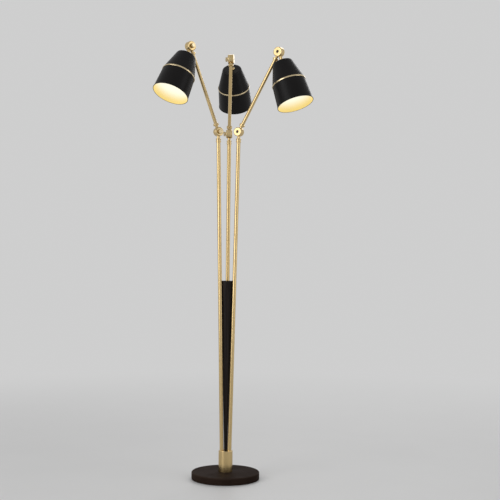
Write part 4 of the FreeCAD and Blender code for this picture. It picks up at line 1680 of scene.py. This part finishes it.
@dataclass
class Arm:
    """One arm: both halves of its hub knuckle, the tube, the clamps and the head knuckle."""

    side: Side
    face_gap: float = 0.1
    tube_radius: float = 6.25
    tube_bore: float = 5.25
    collar_start: float = 23.0
    collar_length: float = 9.0
    collar_radius: float = 10.0
    ferrule_start: float = 25.0
    ferrule_length: float = 14.0
    ferrule_radius: float = 9.5
    ferrule_waist: float = 8.3
    ferrule_bead: float = 4.0
    ferrule_step: float = 0.8
    ferrule_lip: float = 2.5
    cup_radius: float = 7.3
    rod_spigot: float = 5.7
    spigot_gap: float = 0.05
    spigot_length: float = 20.0
    flange_radius: float = 11.0
    flange_height: float = 3.0
    shade_drop: float = SHADE_DROP
    thread_radius: float = 5.0
    thread_length: float = 14.1
    hub: Knuckle = field(default_factory=lambda: Knuckle(16.5))
    head: Knuckle = field(default_factory=lambda: Knuckle(18.0))
    knob: Knob = field(default_factory=Knob)

    def build(self, skeleton: Skeleton) -> None:
        """Makes the arm's pieces.

        Args:
            skeleton: the lamp's frames.
        """
        name = self.side.value
        frames = (skeleton.rod, skeleton.arm, skeleton.head, skeleton.shade)
        rod, arm, head, shade = (find(self.side) for find in frames)
        hub, tip = self.hub, self.head
        halves = (
            ("hub_knuckle", "stand", hub, rod @ turn(180.0, "Y"), self.ferrule(), False),
            ("arm_knuckle", f"arm_{name}", hub, arm @ turn(180.0, "Z"), self.collar(hub), True),
            ("head_knuckle", f"head_{name}", tip, head @ turn(180.0, "X"), self.collar(tip), True),
            ("shade_knuckle", f"shade_{name}", tip, shade, self.shade_seat(), False),
        )
        for kind, body, knuckle, place, stem, recessed in halves:
            half = knuckle.half(f"{kind}_half_{name}", place, stem, recessed)
            put(half, place, body, "brass", f"{kind}_{name}")
        self.tube(arm, (head.to_translation() - arm.to_translation()).length / MM)
        clamps = (("hub", hub, arm, f"arm_{name}"), ("head", tip, head, f"head_{name}"))
        for kind, knuckle, pivot, body in clamps:
            knuckle.bolt(f"{kind}_clamp_{name}", pivot, body, f"{kind}_bolt_{name}")
            along = pivot @ on_pivot(knuckle.width / 2 + self.face_gap)
            self.knob.build(f"{kind}_thumb_nut_{name}", along, body, f"{kind}_knob_{name}")

    def tube(self, arm: Matrix, reach: float) -> None:
        """The arm's tube between its two collars.

        Args:
            arm: the arm's frame.
            reach: the distance between its pivots, in millimetres.
        """
        start = self.collar_start + self.collar_length + self.face_gap
        place = arm @ lift(start)
        label = f"brass_arm_{self.side.value}"
        finish = BRASS.dress(label, place, Marks.DRAWN)
        tube = pipe(label, finish, self.tube_radius, self.tube_bore, reach - 2 * start)
        put(tube, place, f"arm_{self.side.value}", "brass", f"arm_tube_{self.side.value}")

    def neck(self, knuckle: Knuckle, end: float) -> list[Corner]:
        """The start of a stem: its neck from inside the barrel to where it widens."""
        return [
            Corner(0.0, knuckle.stem_root),
            Corner(knuckle.neck, knuckle.stem_root),
            Corner(knuckle.neck, end, 1.2),
        ]

    def ferrule(self) -> list[Corner]:
        """The stem that ends in a cup with two beads over the rod's end, and a spigot in its bore."""
        top, foot = self.ferrule_start, self.ferrule_start + self.ferrule_length
        outer, waist = self.ferrule_radius, self.ferrule_waist
        bead, step = self.ferrule_bead, self.ferrule_step
        end = top + self.spigot_length
        return [
            *self.neck(self.hub, top),
            Corner(outer, top, 1.2),
            Corner(outer, top + bead, 1.2),
            Corner(waist, top + bead + step, 0.6),
            Corner(waist, foot - bead - step, 0.6),
            Corner(outer, foot - bead, 1.2),
            Corner(outer, foot, 1.0),
            Corner(self.cup_radius, foot, 0.3),
            Corner(self.cup_radius, top + self.ferrule_lip),
            Corner(self.rod_spigot, top + self.ferrule_lip),
            Corner(self.rod_spigot, end, 0.4),
            Corner(0.0, end),
        ]

    def collar(self, knuckle: Knuckle) -> list[Corner]:
        """The stem with the collar that meets the arm's tube, and a spigot in its bore."""
        top, foot = self.collar_start, self.collar_start + self.collar_length
        spigot, end = self.tube_bore - self.spigot_gap, foot + self.spigot_length
        return [
            *self.neck(knuckle, top),
            Corner(self.collar_radius, top, 1.6),
            Corner(self.collar_radius, foot, 1.6),
            Corner(spigot, foot),
            Corner(spigot, end, 0.4),
            Corner(0.0, end),
        ]

    def shade_seat(self) -> list[Corner]:
        """The stem with the flange that carries the shade, and its thread."""
        seat = self.shade_drop
        return [
            *self.neck(self.head, seat - self.flange_height),
            Corner(self.flange_radius, seat - self.flange_height, 0.9),
            Corner(self.flange_radius, seat, 0.4),
            Corner(self.thread_radius, seat),
            Corner(self.thread_radius, seat + self.thread_length, 0.4),
            Corner(0.0, seat + self.thread_length),
        ]


@dataclass
class Shade:
    """One shade with its band, nut, lamp holder and bulb."""

    side: Side
    drop: float = SHADE_DROP
    cap_radius: float = 36.0
    shoulder: float = 6.0
    upper: float = 80.5
    band_radius: float = 60.5
    band_height: float = 5.0
    band_thickness: float = 1.6
    lower: float = 81.0
    mouth_radius: float = 65.5
    wall: float = 1.1
    bead: float = 0.9
    bead_height: float = 2.4
    stem_hole: float = 5.05
    nut_height: float = 4.0
    holder_gap: float = 1.0
    holder_length: float = 47.0
    holder_radius: float = 14.0
    holder_neck: float = 7.5
    holder_grip: float = 8.1
    holder_skirt_radius: float = 17.0
    holder_skirt_height: float = 9.0
    holder_skirt_drop: float = 6.0
    fit: float = 0.05
    wire_hole: float = 3.0
    ribs: int = 8
    rib_step: float = 2.4
    rib_start: float = 4.0
    rib_ridge: float = 0.45
    cap_metal_radius: float = 7.0
    cap_metal_length: float = 24.0
    contact_radius: float = 3.5
    contact_height: float = 2.0
    insulator_height: float = 2.0
    thread_ridge: float = 0.45
    thread_pitch: float = 2.8
    thread_turns: float = 5.0
    thread_start: float = 5.0
    cap_rim: float = 3.5
    cap_step: float = 0.5
    globe_radius: float = 22.5
    globe_centre: float = 32.0
    neck_bow: float = 9.0
    neck_steps: int = 10
    globe_join: float = 140.0
    globe_steps: int = 22
    segments: int = 128

    def build(self, skeleton: Skeleton) -> None:
        """Makes the shade's pieces.

        Args:
            skeleton: the lamp's frames.
        """
        pivot = skeleton.shade(self.side)
        self.shell(pivot @ lift(self.drop))
        self.band(pivot @ lift(self.drop + self.upper))
        holder_drop = self.drop + self.wall + self.nut_height + self.holder_gap
        holder = pivot @ lift(holder_drop)
        name = self.side.value
        dress_node(f"shade_locknut_{name}", STEEL.dress(f"locknut_{name}", holder, Marks.TURNED))
        self.holder(holder)
        self.bulb(pivot @ lift(holder_drop + self.holder_length))

    def shell(self, place: Matrix) -> None:
        """The spun shell: black outside, and inside an enamel lining with its bulb's light painted on it."""
        ring_foot = self.upper + self.band_height
        mouth = ring_foot + self.lower
        cap, ring, skirt, wall = self.cap_radius, self.band_radius, self.mouth_radius, self.wall
        bead_out, bead_top = skirt + self.bead, mouth - self.bead_height
        corners = [
            Corner(self.stem_hole, 0.0, 0.2),
            Corner(cap, 0.0, self.shoulder),
            Corner(ring, self.upper, 0.8),
            Corner(ring, ring_foot, 0.8),
            Corner(skirt - 0.1, bead_top, 0.3),
            Corner(bead_out, bead_top + self.bead, 0.6),
            Corner(bead_out, mouth, 0.6),
            Corner(skirt - wall, mouth, 0.5, 1),
            Corner(ring - wall, ring_foot, 0.8, 1),
            Corner(ring - wall, self.upper, 0.8, 1),
            Corner(cap - wall, wall, self.shoulder - wall, 1),
            Corner(self.stem_hole, wall, 0.2),
        ]
        name = f"shade_skin_{self.side.value}"
        finishes = [SHADE_BLACK.dress(name, place), LINING.dress(name, place)]
        skin = as_object(lathe(corners, self.segments), name, finishes)
        put(skin, place, f"shade_{self.side.value}", "shade_lacquer", f"shade_shell_{self.side.value}")

    def band(self, place: Matrix) -> None:
        """The bright band round the shade, a little crowned."""
        inner = self.band_radius + self.fit
        outer = self.band_radius + self.band_thickness
        height = self.band_height
        corners = [
            Corner(inner, 0.0),
            Corner(outer - 0.5, 0.0, 0.45),
            Corner(outer - 0.1, height * 0.2, 0.5),
            Corner(outer, height * 0.5, 1.0),
            Corner(outer - 0.1, height * 0.8, 0.5),
            Corner(outer - 0.5, height, 0.45),
            Corner(inner, height),
        ]
        name = f"band_{self.side.value}"
        finish = BRIGHT_BRASS.dress(name, place, Marks.TURNED)
        band = as_object(lathe(corners, self.segments), name, [finish])
        put(band, place, f"shade_{self.side.value}", "brass", f"shade_ring_{self.side.value}")

    def holder(self, place: Matrix) -> None:
        """The moulded lamp holder, ribbed above its skirt."""
        foot = self.holder_length - self.holder_skirt_drop
        top = foot - self.holder_skirt_height
        inside = self.cap_metal_radius + self.fit
        floor = self.holder_length - self.cap_metal_length - self.fit
        corners = [
            Corner(self.stem_hole, 0.0, 0.2),
            Corner(self.holder_neck, 0.0, 0.5),
            Corner(self.holder_radius, self.holder_grip, 1.5),
            Corner(self.holder_radius, top, 0.3),
            Corner(self.holder_skirt_radius, top, 1.0),
            Corner(self.holder_skirt_radius, foot, 1.0),
            Corner(self.holder_radius, foot, 0.3),
            Corner(self.holder_radius, self.holder_length, 0.6),
            Corner(inside, self.holder_length, 0.4),
            Corner(inside, floor, 0.3),
            Corner(self.wire_hole, floor, 0.2),
            Corner(self.wire_hole, self.holder_grip, 0.2),
            Corner(self.stem_hole, self.holder_grip, 0.2),
        ]
        name = f"socket_body_{self.side.value}"
        finish = HOLDER_PLASTIC.dress(name, place)
        body = as_object(lathe(corners, ROUND_SEGMENTS), name, [finish])
        RIBS.run(
            body,
            Count=self.ribs,
            Step=self.rib_step * MM,
            Radius=self.holder_radius * MM,
            Ridge=self.rib_ridge * MM,
            Start=(self.holder_grip + self.rib_start) * MM,
            Material=finish,
        )
        put(body, place, f"shade_{self.side.value}", "holder_plastic", f"lamp_holder_{self.side.value}")

    def bulb(self, place: Matrix) -> None:
        """The bulb, from the holder's mouth: a threaded cap, and a globe on a bowed neck."""
        body, name = f"shade_{self.side.value}", self.side.value
        cap, length = self.cap_metal_radius, self.cap_metal_length
        core, rim = cap - self.thread_ridge, length - self.cap_rim
        corners = [
            Corner(0.0, 0.0),
            Corner(self.contact_radius, 0.0, 0.6),
            Corner(self.contact_radius, self.contact_height, 0.2),
            Corner(core, self.contact_height + self.insulator_height, 0.6),
            Corner(core, rim - self.cap_step, 0.2),
            Corner(cap, rim, 0.3),
            Corner(cap, length, 0.2),
            Corner(0.0, length),
        ]
        down = place @ lift(-length)
        finish = CAP_METAL.dress(f"cap_{name}", down, Marks.TURNED)
        metal = as_object(lathe(corners, HOLE_SEGMENTS), f"screw_cap_{name}", [finish])
        THREAD.run(
            metal,
            Radius=core * MM,
            Ridge=self.thread_ridge * MM,
            Pitch=self.thread_pitch * MM,
            Turns=self.thread_turns,
            Start=self.thread_start * MM,
            Material=finish,
        )
        put(metal, down, body, "bulb_metal", f"bulb_cap_{name}")
        finish = BULB_GLOW.dress(f"bulb_{name}", place)
        glass = as_object(lathe(self.globe_outline(), ROUND_SEGMENTS), f"frosted_bulb_{name}", [finish])
        put(glass, place, body, "bulb_glass", f"bulb_glass_{name}")

    def globe_outline(self) -> list[Corner]:
        """The bulb's outline: a neck that bows out into the globe.

        Returns:
            The corners from the cap to the globe's far pole.
        """
        join, inset = math.radians(self.globe_join), 0.1
        start = Vector((self.cap_metal_radius - inset, 0.0))
        centre = Vector((0.0, self.globe_centre))
        meet = Vector((math.sin(join), math.cos(join))) * self.globe_radius + centre
        tangent = Vector((-math.cos(join), math.sin(join)))
        low, high = start + Vector((0.0, self.neck_bow)), meet - tangent * self.neck_bow
        corners = [Corner(0.0, 0.0)]
        for step in range(self.neck_steps):
            share = step / self.neck_steps
            rest = 1 - share
            bow = low * 3 * rest**2 * share + high * 3 * rest * share**2
            point = start * rest**3 + bow + meet * share**3
            corners.append(Corner(point.x, point.y))
        for step in range(self.globe_steps):
            angle = join * (1 - step / self.globe_steps)
            along = self.globe_centre + self.globe_radius * math.cos(angle)
            corners.append(Corner(self.globe_radius * math.sin(angle), along))
        corners.append(Corner(0.0, self.globe_centre + self.globe_radius))
        return corners


@dataclass
class Lamp:
    """The whole lamp."""

    skeleton: Skeleton
    base: Base = field(default_factory=Base)
    stem: Stem = field(default_factory=Stem)

    def build(self) -> None:
        """Makes and dresses every piece."""
        self.base.build()
        self.stem.build(self.skeleton)
        for side in Side:
            Arm(side).build(self.skeleton)
            Shade(side).build(self.skeleton)


# --- the studio ----------------------------------------------------------------------


@dataclass
class Studio:
    """The floor, the light and the camera."""

    floor_radius: float = 14.0
    floor_segments: int = 96
    floor_rough: float = 0.55
    floor_tone: Colour = (0.73, 0.73, 0.73)
    mottle_scale: float = 3.0
    mottle_share: float = 0.985
    sky_tone: Colour = (0.62, 0.62, 0.62)
    fade_start: float = 0.6
    fade_end: float = 3.6
    sky_light: float = 0.66
    aim: tuple[float, float, float] = (0.0, 0.0, 0.9)
    camera_place: tuple[float, float, float] = (0.0, -3.781, 0.818)
    focal_pixels: float = 1022.7
    photo_pixels: float = 500.0
    sensor: float = 36.0
    yaw: float = -1.253
    pitch: float = 0.399
    roll: float = -0.574

    def build(self) -> None:
        """Makes the floor, the sky, the lamps and the camera."""
        bpy.context.scene.view_settings.view_transform = "Standard"
        self.floor()
        self.sky()
        self.softbox("key", (-2.6, -2.3, 1.7), (2.2, 3.0), 50.0)
        self.softbox("fill", (3.0, -1.2, 1.6), (1.4, 2.8), 15.0)
        self.softbox("back", (0.8, 2.8, 2.9), (2.4, 2.2), 34.0)
        self.camera()

    def floor(self) -> None:
        """A wide pale disc that fades into the sky far from the lamp."""
        mesh = bmesh.new()
        bmesh.ops.create_circle(mesh, cap_ends=True, segments=self.floor_segments, radius=self.floor_radius)
        material = bpy.data.materials.new("studio_floor")
        material.use_nodes = True
        wires = Wiring(material.node_tree)
        surface = material.node_tree.nodes["Principled BSDF"]
        out = material.node_tree.nodes["Material Output"]
        local = wires.add("ShaderNodeTexCoord").outputs["Object"]
        x, y, _ = wires.parts(local)
        mottle = wires.spread(wires.noise(local, self.mottle_scale, 3.0), 0.3, 0.7)
        dim_tone = tuple(self.mottle_share * part for part in self.floor_tone)
        wires.feed(surface.inputs["Base Color"], wires.blend(mottle, self.floor_tone, dim_tone))
        surface.inputs["Roughness"].default_value = self.floor_rough
        far = wires.add("ShaderNodeEmission")
        far.inputs["Color"].default_value = (*self.sky_tone, 1.0)
        mix = wires.add("ShaderNodeMixShader")
        wires.feed(mix.inputs[0], wires.spread(wires.length(x, y), self.fade_start, self.fade_end))
        wires.feed(mix.inputs[1], surface.outputs[0])
        wires.feed(mix.inputs[2], far.outputs[0])
        wires.feed(out.inputs["Surface"], mix.outputs[0])
        as_object(mesh, "studio_floor", [material])

    def sky(self) -> None:
        """A pale surround, dimmer as a light than it looks."""
        world = bpy.data.worlds.new("studio_sky")
        bpy.context.scene.world = world
        world.use_nodes = True
        wires = Wiring(world.node_tree)
        shine = world.node_tree.nodes["Background"]
        shine.inputs["Color"].default_value = (*self.sky_tone, 1.0)
        path = wires.add("ShaderNodeLightPath").outputs
        mirrored = wires.math("ADD", path["Is Glossy Ray"], path["Is Transmission Ray"])
        seen = wires.math("MINIMUM", wires.math("ADD", path["Is Camera Ray"], mirrored), 1.0)
        strength = wires.math("MULTIPLY_ADD", seen, 1.0 - self.sky_light, self.sky_light)
        wires.feed(shine.inputs["Strength"], strength)

    def softbox(
        self, name: str, place: tuple[float, float, float], size: tuple[float, float], power: float
    ) -> None:
        """A soft light that faces the lamp.

        Args:
            name: the light's name.
            place: where it stands, in metres.
            size: its width and height, in metres.
            power: its power, in watts.
        """
        light = bpy.data.lights.new(name, "AREA")
        light.shape = "RECTANGLE"
        light.size, light.size_y = size
        light.energy = power
        stand = bpy.data.objects.new(name, light)
        stand.location = place
        aim = Vector(self.aim) - Vector(place)
        stand.rotation_euler = aim.to_track_quat("-Z", "Y").to_euler()
        bpy.context.scene.collection.objects.link(stand)

    def camera(self) -> None:
        """The camera at the photo's place and angle."""
        data = bpy.data.cameras.new("camera")
        data.sensor_width = self.sensor
        data.lens = self.focal_pixels * self.sensor / self.photo_pixels
        view = bpy.data.objects.new("camera", data)
        heading = turn(self.yaw, "Z") @ turn(self.pitch, "X")
        level = turn(90.0, "X") @ turn(-self.roll, "Z")
        view.matrix_world = Matrix.Translation(self.camera_place) @ heading @ level
        bpy.context.scene.collection.objects.link(view)
        bpy.context.scene.camera = view


FLUTES = flute_tree()
THREAD = thread_tree()
RIBS = rib_tree()


def main() -> None:
    """Builds the lamp and the studio."""
    logging.basicConfig(level=logging.INFO, format="%(name)s %(message)s")
    Studio().build()
    Lamp(Skeleton(frame["joints"])).build()


if __name__ == "__main__":
    main()
